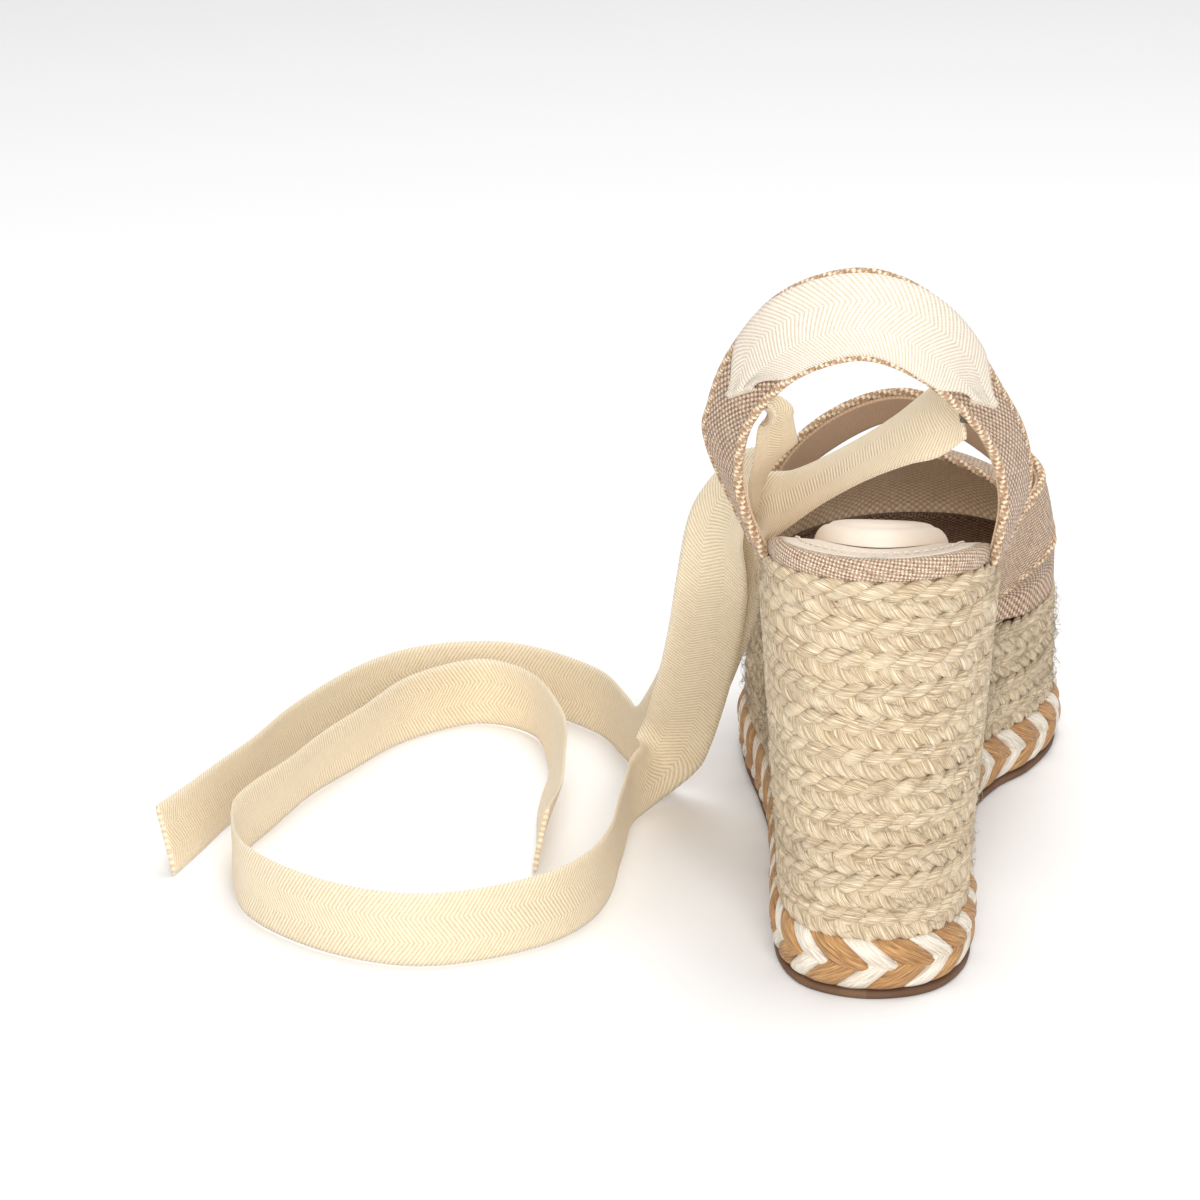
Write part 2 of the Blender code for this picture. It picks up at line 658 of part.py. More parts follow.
def strap_normal(share, width_share):
    d = 0.006
    share = np.asarray(share, float)
    along = (strap_point(np.clip(share + d, 0, 1), width_share)
             - strap_point(np.clip(share - d, 0, 1), width_share))
    across = strap_point(share, 0.9) - strap_point(share, 0.1)
    return unit(np.cross(along, across))


def strap_sheet(name, span, width, layer, look, count, rows=4):
    share = np.repeat(np.linspace(*span, count)[:, None], rows + 1, 1)
    across = np.repeat(np.linspace(*width, rows + 1)[None, :], count, 0)
    surface = strap_point(share, across)
    normal = strap_normal(share, across)
    return sheet(name, surface + normal * layer[1], surface + normal * layer[0], look)


def fold_profile(name, radius, above):
    """A prism across the foot: what is below the fold line, or what is above it."""
    turns = np.linspace(math.pi, 2 * math.pi, 19)
    arc = [(FOLD_Y + radius * math.cos(a), FOLD_Z + radius * math.sin(a)) for a in turns]
    level = FOLD_BLOCK_Z[1] if above else FOLD_BLOCK_Z[0]
    line = FOLD_Z - (FOLD_GAP if above else 0.0)
    back, front = FOLD_BLOCK_Y
    points = [(back, line)] + [(y, min(z, line)) for y, z in arc] + [(front, line)]
    points += [(front, level), (back, level)]
    rows = [[(x, y, z) for y, z in points] for x in (-FOLD_BLOCK_X, FOLD_BLOCK_X)]
    return as_cutter(loft(name, np.array(rows), "foam"))


def slot_block(name, slot, length, width, depths):
    """A block through the strap, with its length in line with the slot."""
    share, level, turn = slot
    centre = strap_point(share, level)
    out = strap_normal(share, level)
    run = unit(strap_point(share + 0.01, level) - strap_point(share - 0.01, level))
    rise = np.cross(out, run)
    across = rise * math.cos(math.radians(turn)) + run * math.sin(math.radians(turn))
    along = np.cross(across, out)
    corners = [(-0.5, -0.5), (0.5, -0.5), (0.5, 0.5), (-0.5, 0.5)]
    rows = [[centre + out * depth + across * (length * a) + along * (width * b)
             for a, b in corners] for depth in depths]
    return loft(name, np.array(rows), "facing")


def slot_cutter(name, slot):
    return as_cutter(slot_block(name, slot, SLOT_LENGTH, SLOT_WIDTH, (-SLOT_REACH, SLOT_REACH)))


def make_facing(name, slot, cutter):
    width, length, thick = FACING
    level = LINING_LAYER[0] - GAP - FACING_DROP
    cut(slot_block(name, slot, length, width, (level - thick, level)), cutter)


def strap_binding(name, width_share, lift):
    share = np.linspace(*STRAP_SPAN, 61)
    middle = (HEEL_STRAP_LAYER[0] + HEEL_STRAP_LAYER[1]) / 2
    normal = strap_normal(share, width_share)
    edge = strap_point(share, width_share)
    beyond = unit(np.cross(normal, np.gradient(edge, axis=0)))
    points = edge + normal * middle + beyond * lift
    keep = points[:, 2] > FOLD_Z + BINDING_RADIUS
    return tube(name, points[keep], BINDING_RADIUS, "binding")


def make_heel_strap():
    moving = fold_profile("fold_cutter_below", FOLD_RADIUS, above=False)
    fixed = fold_profile("fold_cutter_above", FOLD_RADIUS + FOLD_GAP, above=True)
    slots = [slot_cutter("slot_cutter_lateral", SLOT_LATERAL),
             slot_cutter("slot_cutter_medial", SLOT_MEDIAL)]
    edge = BINDING_SHARE
    for name, layer, look in (("heel_strap_outer", HEEL_STRAP_LAYER, "linen"),
                              ("heel_strap_lining", LINING_LAYER, "lining")):
        strap = strap_sheet(name, STRAP_SPAN, (edge, 1 - edge), layer, look, 49)
        for cutter in (moving, *slots):
            cut(strap, cutter)
    for side, span in zip(("lateral", "medial"), STRAP_END_SPANS):
        width = (END_MARGIN, 1 - END_MARGIN)
        end = strap_sheet(f"heel_strap_end_{side}", span, width, STRAP_END_LAYER, "linen", 14)
        cut(end, fixed)
    strap_binding("heel_strap_lower_binding", edge, -BINDING_RADIUS - GAP)
    strap_binding("heel_strap_top_binding", 1 - edge, BINDING_RADIUS + GAP)
    make_facing("slot_facing_lateral", SLOT_LATERAL, slots[0])
    make_facing("slot_facing_medial", SLOT_MEDIAL, slots[1])


# ---- ankle tape ------------------------------------------------------------------------

def make_back_span():
    """The tape round the outside of the heel strap, from slot to slot."""
    lift = HEEL_STRAP_LAYER[1] + 4 * GAP + TAPE_THICK / 2
    share = np.linspace(SLOT_LATERAL[0], SLOT_MEDIAL[0], 41)
    centres = strap_point(share, 0.5) + strap_normal(share, 0.5) * lift
    across = strap_point(share, 0.9) - strap_point(share, 0.1)
    ribbon("tape_back_span", centres, across, "tape")


def make_tail(name, route):
    data = curve([(*place, *width) for place, width in route], TAIL_STEPS)
    ribbon(name, data[:, :3], unit(data[:, 3:]), "tape")


clear_scene()
make_outsole()
make_trim()
make_core()
make_jute_rows()
make_footbed()
make_forefoot_upper()
make_heel_strap()
make_back_span()
make_tail("tape_tail_medial", TAIL_MEDIAL)
make_tail("tape_tail_lateral", TAIL_LATERAL)
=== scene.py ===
"""Looks of the ankle-tie wedge sandal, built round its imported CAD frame.

Lengths are in millimetres in the sandal's own frame, as in the CAD design: +Y to the toe, +X to
the inner side of the foot, +Z up, origin on the ground. Meshes are scaled to metres when made.
"""

import math

import bpy
import numpy as np
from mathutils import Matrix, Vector


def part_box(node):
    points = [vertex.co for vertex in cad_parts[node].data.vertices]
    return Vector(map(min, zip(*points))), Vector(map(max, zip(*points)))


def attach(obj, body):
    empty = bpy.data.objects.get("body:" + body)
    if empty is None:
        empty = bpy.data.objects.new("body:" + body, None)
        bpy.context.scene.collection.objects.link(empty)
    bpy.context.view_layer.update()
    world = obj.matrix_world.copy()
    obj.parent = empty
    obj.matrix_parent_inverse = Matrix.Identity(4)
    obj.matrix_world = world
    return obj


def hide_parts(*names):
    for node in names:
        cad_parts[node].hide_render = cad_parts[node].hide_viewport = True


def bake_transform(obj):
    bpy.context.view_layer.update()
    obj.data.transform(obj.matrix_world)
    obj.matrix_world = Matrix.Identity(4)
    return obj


MM = 0.001
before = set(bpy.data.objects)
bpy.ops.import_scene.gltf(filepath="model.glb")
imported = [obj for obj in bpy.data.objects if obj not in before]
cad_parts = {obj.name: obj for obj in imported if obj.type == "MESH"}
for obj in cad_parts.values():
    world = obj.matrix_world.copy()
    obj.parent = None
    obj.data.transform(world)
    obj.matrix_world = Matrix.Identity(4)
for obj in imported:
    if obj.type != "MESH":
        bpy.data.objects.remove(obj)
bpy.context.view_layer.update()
RANDOM = np.random.RandomState(11)

# ---- the CAD design's driving dimensions ----

OUTLINE = [
    (0, -122.5), (15, -116.5), (22.5, -100), (23, -76), (21, -48), (19.5, -22), (20.5, 6),
    (27, 28), (35.5, 43), (41.5, 64), (41, 86), (34, 106), (20, 119), (4, 122.5),
    (-14, 118), (-29, 105), (-39, 86), (-43.5, 62), (-41, 38), (-35, 10), (-30, -18),
    (-27, -48), (-25, -76), (-22.5, -100), (-15, -116.5),
]
STATIONS = 640
OUTSOLE_TOP = 2.0
TRIM_TOP = 15.0
FLARE = 6.5
FLARE_HEIGHT = 94.0
FLARE_START = -70.0
FLARE_END = 30.0
RIM_HEEL = 109.0
RIM_BALL = 45.0
RIM_BACK_Y = -125.0
RIM_RUN = 175.0
WALL_TOP = 100.0  # the height at which the wall is read to find the rim over it
ROWS = 11
BALL_ROWS = 4
ROW_MIN = 1.4
ROW_FAN = (-60, 40)  # the rows draw together between these places
GAP = 0.3  # between neighbouring pieces
COVER_TOP = 5.5
SOCK_TOP = 5.8
PAD_RISE = 5.0
PAD_CENTRE_Y = -86.0
PAD_HALF = (16.5, 27.0)
PAD_SINK = 0.6  # how far the pad's edge lies below the sock
RIM_WALL = 2.6
RIM_HEIGHT = 5.6
RIM_INSET_SPAN = (-112, -102)
RIM_INSET_BACK = 1.2
RIM_INSET_UPPER = 2.5
UPPER_INSET = 1.8
UPPER_LIFT = 1.0

LAST = [
    (-60, (-34, 112), (2, 133), (33, 119)),
    (-20, (-32, 101), (1, 127), (36, 109)),
    (0, (-31, 99), (2, 120), (38.5, 95)),
    (20, (-35, 83), (3, 108), (40, 80)),
    (40, (-38.5, 66), (4, 91), (40.5, 66)),
    (60, (-41, 58.5), (3, 79), (41, 60)),
    (92, (-36, 53), (4, 64), (38, 55)),
    (110, (-29, 51), (6, 58), (33, 52)),
]
THROAT_EDGE = [(0, -16), (0.2, -9), (0.5, 0), (0.7, -6), (0.85, -22), (1, -50)]
STRAP_FRONT_EDGE = [(0, 12), (0.12, 16), (0.3, 20), (0.5, 20), (0.7, 21), (0.88, 16), (1, 12)]
VAMP_REAR_EDGE = [(0, 14), (0.12, 18.2), (0.3, 31), (0.5, 39), (0.7, 31), (0.88, 18.2), (1, 14)]
TOE_ROUNDING = (1.35, 2.2)
CLOTH = 1.25
LINING = (-1.1, -0.3)
BINDING = 1.05

STRAP_LOW = [
    (-32.5, -102, 120), (-33, -105, 133), (-29, -111, 145), (-19, -118.5, 157),
    (-4, -122.5, 163), (9, -121, 158.5), (19.5, -114, 148), (26.5, -107, 136),
    (29.3, -103, 122),
]
STRAP_HIGH = [
    (-43, -72, 125), (-42, -83, 140), (-35.5, -98, 158), (-23, -111.5, 175.5),
    (-6, -117, 183), (8, -115, 179), (18.5, -107.5, 167), (27, -94, 149.5),
    (33.5, -76, 131), (34, -62, 112),
]
STRAP_BASE_REAR = -100.0
STRAP_BASE_FRONT = -54.0
STRAP_BASE_LIFT = 0.6
STRAP_BULGE = 0.5
STRAP_MIDDLE = (0.0, -75.0, 0.0)  # the strap bulges away from here
STRAP_EDGE = 0.06  # share of the width at each edge that the bindings take up
STRAP_CLOTH = 1.2
# Each slot's centre, as shares of the way along the strap and from its lower edge, and its
# turn in degrees from straight across the strap towards the strap's end.
SLOT_LATERAL = (0.275, 0.30, -62)
SLOT_MEDIAL = (0.728, 0.28, 62)
SLOT_LENGTH = 16.0
SLOT_WIDTH = 2.6
# Width, length and thickness, smaller than in the CAD so that the bindings hide them.
FACING = (4.2, 17.4, 0.5)
FACING_DEPTH = 1.2
FACING_SLIT = (SLOT_LENGTH - 0.6, SLOT_WIDTH - 1.0)
CUT_DEPTHS = (-6.0, 6.0)  # of the blocks that cut the slots
TAPE_WIDTH = 19.5
TAPE_THICK = 1.0
TAPE_FLOOR = 10.2  # height of the middle of tape that stands on its edge


def on_floor(points):
    """Places of tape that stands on its edge, from (x, y, lean of its width towards +X)."""
    return [((x, y, TAPE_FLOOR), (lean, 0, 1)) for x, y, lean in points]


# The tape's routes, the same points as in the CAD: centre and direction of the width.
TAIL_MEDIAL = [
    ((16.4, -101.5, 143.5), (-0.35, 0.60, 0.72)),
    ((9, -92.5, 138), (-0.05, 0.80, 0.60)),
    ((-1, -81, 129), (0.15, 0.85, 0.50)),
    ((-13, -68.5, 118), (0.12, 0.88, 0.42)),
    ((-25, -57, 107), (-0.10, 0.90, 0.38)),
    ((-33, -47, 100.5), (-0.40, 0.82, 0.32)),
    ((-37.5, -36, 88), (-0.72, 0.64, 0.20)),
    ((-42.5, -25.5, 73.5), (-0.93, 0.30, 0.10)),
    ((-48.5, -12, 53), (-0.98, 0.05, 0.12)),
    ((-55.5, 4, 33), (-0.92, 0.0, 0.35)),
    ((-63, 16, 18), (-0.50, 0.0, 0.85)),
    ((-70, 27, 11), (-0.12, 0.0, 1.0)),
] + on_floor([
    (-76, 40, 0), (-86, 60, 0), (-103, 76, 0), (-121, 81, 0), (-141, 72, 0), (-157, 46, 0.05),
    (-168, 16, 0.05), (-175.5, -14, 0), (-180.5, -38, -0.10), (-186, -60, -0.25),
])
TAIL_LATERAL = [
    ((-26.3, -91.5, 137), (0.70, 0.70, -0.05)),
    ((-27.4, -80, 125), (0.62, 0.76, 0.20)),
    ((-31.5, -61, 113.5), (-0.05, 0.92, 0.40)),
    ((-38, -48.5, 107), (-0.40, 0.85, 0.32)),
    ((-44, -40.5, 94), (-0.75, 0.62, 0.18)),
    ((-46, -33, 76), (-0.95, 0.25, 0.10)),
    ((-49.5, -18, 55), (-0.98, 0.05, 0.12)),
    ((-54.5, -4, 34), (-0.92, -0.05, 0.35)),
    ((-60, 5, 17), (-0.45, -0.10, 0.88)),
    ((-65.5, 1, 10.6), (-0.10, -0.05, 1.0)),
] + on_floor([
    (-69, -12, 0), (-69, -38, 0), (-72.5, -78, 0), (-88, -103, 0), (-111, -115.5, 0),
    (-138, -107.5, 0), (-160, -85, 0), (-169, -60, 0), (-168, -40, 0.10), (-160, -12, 0.22),
    (-149, 20, 0.20), (-137, 50, 0.05), (-120, 65, 0),
]) + [
    ((-104, 55, TAPE_FLOOR), (-0.05, -0.05, 1)),
] + on_floor([(-95, 30, 0.15), (-91, 2, 0.40), (-89, -26, 0.40), (-89, -50, 0.2)])

# ---- the looks' own dimensions ----

PLAIT_STRANDS = 5
PLAIT_PERIOD = 27.0  # one full turn of a strand in the jute plait
PLAIT_STEP = 0.85
STRAND_SIDES = 12
STRAND_RADIUS = 0.215  # as a share of the row's height
STRAND_FLAT = 0.62
STRAND_UNEVEN = 0.07
STRAND_DEPTH = -1.8
STRAND_SWING = 1.0  # how far a strand moves in and out as it crosses the others
ROW_PHASE = 2.1  # how far each row's plait is turned from the one below, in radians
BAND_DEPTH = -1.7  # of the plain band behind a plait
SEAM_ROWS = (2, 5)  # the wall is glued up in bands, with a seam under these rows
SEAM_GAP = 0.7
FUZZ_FIBRES = 3600
FUZZ_LENGTH = (2.5, 9.0)
FUZZ_LIFT = (0.1, 2.4)
FUZZ_RADIUS = (0.045, 0.085)
TRIM_PAIRS = 33  # pairs of a white and a tan strand round the sole
TRIM_WHITE_SHARE = 0.44
TRIM_SLANT = 8.0
TRIM_OVERLAP = 1.07  # a strand's width as a share of its room
TRIM_TAIL = 0.28  # how far a strand runs on past the chevrons' middle line
TRIM_SWELL = 2.2
TRIM_BACK = -1.6
# The rubber slab's edge, as (height, distance out from the outline).
OUTSOLE_EDGE = [(0.0, -1.2), (0.0, 0.5), (0.4, 0.95), (1.0, 1.1), (1.7, 0.95), (2.0, 0.5),
                (2.0, -2.0)]
FOOTBED_TUCK = 0.2  # how far the footbed's cloth runs under the wrapped rim
FOOTBED_DISH = 0.9
SOCK_THICK = 1.2
COVER_THICK = 0.9
STITCH_INSET = 4.0
VAMP_BEAD = 0.95
FRONT_BEAD = 0.85
STRAP_BEAD = 1.15
WEAVE_LINEN = 1.15
WEAVE_BEAD = 1.15
WEAVE_RIM = 0.8
WEAVE_LINING = 0.55
WEAVE_FACING = 0.6
TWILL_COLUMN = TAPE_WIDTH / 3
TWILL_PITCH = 1.2
TWILL_RISE = 9.0
TWILL_RIB = 0.62
TWILL_DEPTH = 0.14
STITCH_PITCH = 2.6
STITCH_LENGTH = 1.7
STITCH_RADIUS = 0.28
PAD_CREASE = (0.35, 0.80, 0.035)  # its depth, and its place and width as shares of the pad's
INSTEP_EDGES = (1.1, 0.0)  # how far the cloth's edges stand in from the cut lines, along y
INSTEP_LINING = (0.06, 0.94)  # the lining's first and last share of the way across
INSTEP_LINING_EDGES = (1.6, -0.6)
STRAP_STEPS = 260
STRAP_RUN = 178.0  # the heel strap's length and width, for the weave's scale
STRAP_WIDTH = 24.0
TAPE_END = 14.5  # the tape's width where it is gathered into a slot
TAPE_END_SHIFT = -1.6  # along the slot
TAPE_SHORT = 3.4  # how far before a slot's middle the tape turns in
TAPE_GATHER = 13.0
TAPE_CLEAR = 0.35  # between the heel strap and the tape round it
TAPE_PUCKER = 0.5
TAPE_BEND = 1.7
TAPE_CUP = 0.35
TAPE_LYING = (190, 260)  # the tape ripples on the floor, from these distances along it
HEM = 6.0
TAIL_LEAD = 5.5
TAIL_DEPTH = 2.4  # behind the strap, where a loose end leaves its slot
TAIL_TURN = 0.2  # a loose end that would turn further than this cosine starts beside its slot
# Light passes into thin cloth: how far, how much of it, and its share of red, green and blue.
CLOTH_GLOW = 4.0
CLOTH_GLOW_WEIGHTS = (("inside", 0.75), ("tape_painted_bounce", 0.3))
CLOTH_GLOW_TINT = (1.0, 0.95, 0.9)


# ---- curves and numbers ----

def smoothstep(value, start, end):
    """0 before start, 1 after end, with a smooth rise between."""
    share = np.clip((np.asarray(value, float) - start) / (end - start), 0.0, 1.0)
    return share * share * (3.0 - 2.0 * share)


def spline(a, b, c, d, u):
    """The smooth curve's stretch between b and c, for u from 0 to 1."""
    return 0.5 * (2 * b + (c - a) * u + (2 * a - 5 * b + 4 * c - d) * u ** 2
                  + (3 * b - a - 3 * c + d) * u ** 3)


def read(points, where, grid):
    """Rows of points at places between those of the grid."""
    return np.stack([np.interp(where, grid, column) for column in points.T], -1)


def curve(points, count, closed=False):
    """Points at even steps along a smooth curve through the given points."""
    p = np.asarray(points, float)
    if closed:
        p = np.vstack([p[-1], p, p[0], p[1]])
    else:
        p = np.vstack([2 * p[0] - p[1], p, 2 * p[-1] - p[-2]])
    u = np.linspace(0, 1, 24, endpoint=False)[:, None]
    fine = [spline(*knots, u) for knots in zip(p[:-3], p[1:-2], p[2:-1], p[3:])]
    fine = np.vstack([*fine, p[-2]])
    along = lengths(fine[:, :3])
    return read(fine, np.linspace(0, along[-1], count, endpoint=not closed), along)


def smooth_value(table, value):
    """A smooth curve through (position, value) pairs, read at the given positions."""
    keys, data = np.array(table, float).T
    slope = np.gradient(data, keys)
    i = np.clip(np.searchsorted(keys, value, side="right") - 1, 0, len(keys) - 2)
    span = keys[i + 1] - keys[i]
    u = np.clip((value - keys[i]) / span, 0.0, 1.0)
    return (data[i] * (1 + 2 * u) * (1 - u) ** 2 + slope[i] * span * u * (1 - u) ** 2
            + data[i + 1] * u * u * (3 - 2 * u) + slope[i + 1] * span * u * u * (u - 1))


def unit(vectors):
    return vectors / np.linalg.norm(vectors, axis=-1, keepdims=True)


def lengths(points):
    """Distance along a line of points."""
    return np.concatenate([[0], np.cumsum(np.linalg.norm(np.diff(points, axis=0), axis=1))])


def looped(points):
    """The points with the first one again at the end."""
    return np.vstack([points, points[:1]])


# ---- the CAD design's surfaces ----

GROUND = curve(OUTLINE, STATIONS, closed=True)
_ahead = unit(np.roll(GROUND, -2, 0) - np.roll(GROUND, 2, 0))
OUTWARD = np.stack([_ahead[:, 1], -_ahead[:, 0]], 1)
HALF = STATIONS // 2
LOOP = np.arange(STATIONS + 1)


def rim_height(y):
    return RIM_HEEL - (RIM_HEEL - RIM_BALL) * smoothstep(y, RIM_BACK_Y, RIM_BACK_Y + RIM_RUN)


def wall(place, z, grow):
    """A point of the jute wall: place is in stations round the sole, grow is outward."""
    base = read(looped(GROUND), np.mod(place, STATIONS), LOOP)
    out = read(looped(OUTWARD), np.mod(place, STATIONS), LOOP)
    lean = FLARE * (1 - smoothstep(base[..., 1], FLARE_START, FLARE_END))
    height = np.clip((z - TRIM_TOP) / FLARE_HEIGHT, 0.0, 1.0)
    flat = base + out * (lean * height + grow)[..., None]
    return np.concatenate([flat, np.broadcast_to(z, np.shape(place))[..., None]], -1)


def wall_outward(place):
    out = read(looped(OUTWARD), np.mod(place, STATIONS), LOOP)
    return unit(np.concatenate([out, np.zeros_like(out[..., :1])], -1))


def ring(z, grow=0.0):
    return wall(np.arange(STATIONS), np.asarray(z, float), grow)


def footbed_ring(rise, grow=0.0):
    top = ring(rim_height(GROUND[:, 1]), grow)
    top[:, 2] = rim_height(top[:, 1]) + rise
    return top


def rim_inset(y):
    under_upper = smoothstep(y, *RIM_INSET_SPAN)
    return RIM_INSET_BACK + (RIM_INSET_UPPER - RIM_INSET_BACK) * under_upper


TOP = footbed_ring(0.0)
EDGE = footbed_ring(0.0, -UPPER_INSET)
ENDS = STATIONS // 28


def side_point(y, side):
    """The line on the wall's top edge where the upper is fixed, at y, on one side (+1 or -1)."""
    half = EDGE[ENDS:HALF - ENDS // 2] if side > 0 else EDGE[HALF + ENDS:][::-1]
    x = np.interp(y, half[:, 1], half[:, 0])
    return np.stack([x, np.asarray(y, float), rim_height(y) + UPPER_LIFT], -1)


def last_point(share, y):
    """A point of the foot-shaped surface: share 0 is the outer edge, 1 the inner edge."""
    share, y = np.broadcast_arrays(np.asarray(share, float), np.asarray(y, float))
    ribs = [side_point(y, -1)]
    for part in (1, 2, 3):
        x = smooth_value([(row[0], row[part][0]) for row in LAST], y)
        z = smooth_value([(row[0], row[part][1]) for row in LAST], y)
        ribs.append(np.stack([x, y, z], -1))
    ribs.append(side_point(y, 1))
    padded = np.stack([2 * ribs[0] - ribs[1], *ribs, 2 * ribs[-1] - ribs[-2]], 0)
    k = np.clip((share * 4).astype(int), 0, 3)
    u = (share * 4 - k)[..., None]
    index = np.indices(k.shape)
    a, b, c, d = (padded[(k + i, *index)] for i in range(4))
    return spline(a, b, c, d, u)


def last_normal(share, y):
    d = 0.01
    across = last_point(np.clip(share + d, 0, 1), y) - last_point(np.clip(share - d, 0, 1), y)
    ahead = last_point(share, y + 1.0) - last_point(share, y - 1.0)
    return unit(np.cross(across, ahead))


def strap_edges(count):
    lift = np.array([0.0, 0.0, STRAP_BASE_LIFT])
    return [curve([side_point(y, -1) + lift, *line, side_point(y, 1) + lift], count)
            for y, line in ((STRAP_BASE_REAR, STRAP_LOW), (STRAP_BASE_FRONT, STRAP_HIGH))]


STRAP_FINE = 241
STRAP_END_SHARE = 0.12
EDGE_LOW, EDGE_HIGH = strap_edges(STRAP_FINE)


def strap_point(share, width_share):
    """share runs along the strap, width_share from its lower to its upper edge."""
    share, width_share = np.broadcast_arrays(np.asarray(share, float), width_share)
    place = share * (STRAP_FINE - 1)
    grid = np.arange(STRAP_FINE)
    w = np.asarray(width_share, float)[..., None]
    flat = read(EDGE_LOW, place, grid) * (1 - w) + read(EDGE_HIGH, place, grid) * w
    base = rim_height(flat[..., 1]) + UPPER_LIFT + STRAP_BASE_LIFT
    flat[..., 2] = np.maximum(flat[..., 2], base)
    for side, end in ((-1, 0), (1, -1)):
        near = np.clip(1 - np.abs(share + end) / STRAP_END_SHARE, 0, 1)
        chord = EDGE_LOW[end, 0] * (1 - w) + EDGE_HIGH[end, 0] * w
        edge = side_point(flat[..., 1], side)[..., 0]
        flat[..., 0] += near * (edge - chord[..., 0])
    out = flat * np.array([1.0, 1.0, 0.0]) - np.array(STRAP_MIDDLE)
    return flat + unit(out) * STRAP_BULGE * 4 * w * (1 - w)


def strap_normal(share, width_share):
    d = 0.006
    share, width_share = np.broadcast_arrays(np.asarray(share, float), width_share)
    along = (strap_point(np.clip(share + d, 0, 1), width_share)
             - strap_point(np.clip(share - d, 0, 1), width_share))
    across = strap_point(share, 0.9) - strap_point(share, 0.1)
    return unit(np.cross(along, across))


# ---- meshes ----

def grid_part(points, uv, look=0, close_u=False, close_v=False):
    """Quads over a grid of points. uv has one more row or column where the grid closes."""
    n, m = points.shape[:2]
    i, j = np.meshgrid(np.arange(n if close_u else n - 1), np.arange(m if close_v else m - 1),
                       indexing="ij")
    i, j = i.ravel(), j.ravel()
    k, l = (i + 1) % n, (j + 1) % m
    faces = np.stack([i * m + j, i * m + l, k * m + l, k * m + j], 1)
    corners = np.stack([uv[i, j], uv[i, j + 1], uv[i + 1, j + 1], uv[i + 1, j]], 1)
    return {"points": points.reshape(-1, 3), "faces": faces, "uv": corners,
            "look": np.full(len(faces), look)}


def flip(part):
    part["faces"] = part["faces"][:, ::-1]
    part["uv"] = part["uv"][:, ::-1]
    return part


def shell_part(outer, inner, uv, look=0, inner_look=None):
    """A closed piece of cloth between two facing grids."""
    inner_look = look if inner_look is None else inner_look
    top = grid_part(outer, uv, look)
    low = flip(grid_part(inner, uv, inner_look))
    n, m = outer.shape[:2]
    index = np.arange(n * m).reshape(n, m)
    edge = np.concatenate([index[:, 0], index[-1, 1:], index[-2::-1, -1], index[0, -2:0:-1]])
    after = np.roll(edge, -1)
    rim = np.stack([edge, after, after + n * m, edge + n * m], 1)
    flat = uv.reshape(-1, 2)
    corners = np.stack([flat[edge], flat[after], flat[after], flat[edge]], 1)
    return {"points": np.vstack([top["points"], low["points"]]),
            "faces": np.vstack([top["faces"], low["faces"] + n * m, rim]),
            "uv": np.vstack([top["uv"], low["uv"], corners]),
            "look": np.concatenate([top["look"], low["look"], np.full(len(rim), look)])}


def uv_grid(u, v):
    """Texture places from those of the rows and those of the columns."""
    return np.stack(np.broadcast_arrays(np.asarray(u)[:, None], np.asarray(v)[None, :]), -1)


def grid_uv(points):
    """Texture places in millimetres along and across a grid, measured from its middle."""
    n, m = points.shape[:2]
    u = np.stack([lengths(points[:, j]) for j in range(m)], 1)
    v = np.stack([lengths(points[i]) for i in range(n)], 0)
    return np.stack([u - u[n // 2][None, :], v - v[:, m // 2][:, None]], -1)


def tube_part(centres, outward, radius, flat=1.0, sides=10, closed=False, look=0, shift=0.0):
    """A strand along the centres; flat is its thickness outward as a share of its width."""
    if closed:
        ahead = unit(np.roll(centres, -1, 0) - np.roll(centres, 1, 0))
    else:
        ahead = unit(np.gradient(centres, axis=0))
    side = unit(np.cross(ahead, outward))
    out = np.cross(side, ahead)
    turns = np.arange(sides) * 2 * math.pi / sides
    radius = np.broadcast_to(radius, len(centres))[:, None, None]
    points = centres[:, None] + radius * (
        -flat * np.cos(turns)[None, :, None] * out[:, None]
        + np.sin(turns)[None, :, None] * side[:, None])
    uv = uv_grid(lengths(looped(centres) if closed else centres) + shift,
                 np.arange(sides + 1) / sides)
    part = grid_part(points, uv, look, close_u=closed, close_v=True)
    if not closed and sides > 3:
        caps = []
        for end, order in ((0, 1), (len(centres) - 1, -1)):
            loop = (end * sides + np.arange(sides))[::order]
            caps += [(loop[0], loop[i], loop[i + 1], loop[i + 2])
                     for i in range(1, sides - 2, 2)]
        caps = np.array(caps)
        part["faces"] = np.vstack([part["faces"], caps])
        part["uv"] = np.concatenate([part["uv"], np.zeros((len(caps), 4, 2))])
        part["look"] = np.concatenate([part["look"], np.full(len(caps), look)])
    return part


def mesh_object(name, parts):
    """One object from mesh parts, scaled to metres."""
    points = np.vstack([part["points"] for part in parts]) * MM
    starts = np.cumsum([0] + [len(part["points"]) for part in parts])
    faces = np.vstack([part["faces"] + start for part, start in zip(parts, starts)])
    uv = np.concatenate([part["uv"] for part in parts])
    mesh = bpy.data.meshes.new(name)
    mesh.vertices.add(len(points))
    mesh.vertices.foreach_set("co", points.astype(np.float32).ravel())
    mesh.loops.add(faces.size)
    mesh.loops.foreach_set("vertex_index", faces.astype(np.int32).ravel())
    mesh.polygons.add(len(faces))
    mesh.polygons.foreach_set("loop_start", np.arange(0, faces.size, 4, dtype=np.int32))
    mesh.uv_layers.new(name="UVMap").data.foreach_set("uv", (uv * MM).astype(np.float32).ravel())
    mesh.polygons.foreach_set("material_index",
                              np.concatenate([p["look"] for p in parts]).astype(np.int32))
    mesh.update(calc_edges=True)
    mesh.validate()
    mesh.shade_smooth()
    obj = bpy.data.objects.new(name, mesh)
    bpy.context.scene.collection.objects.link(obj)
    return obj


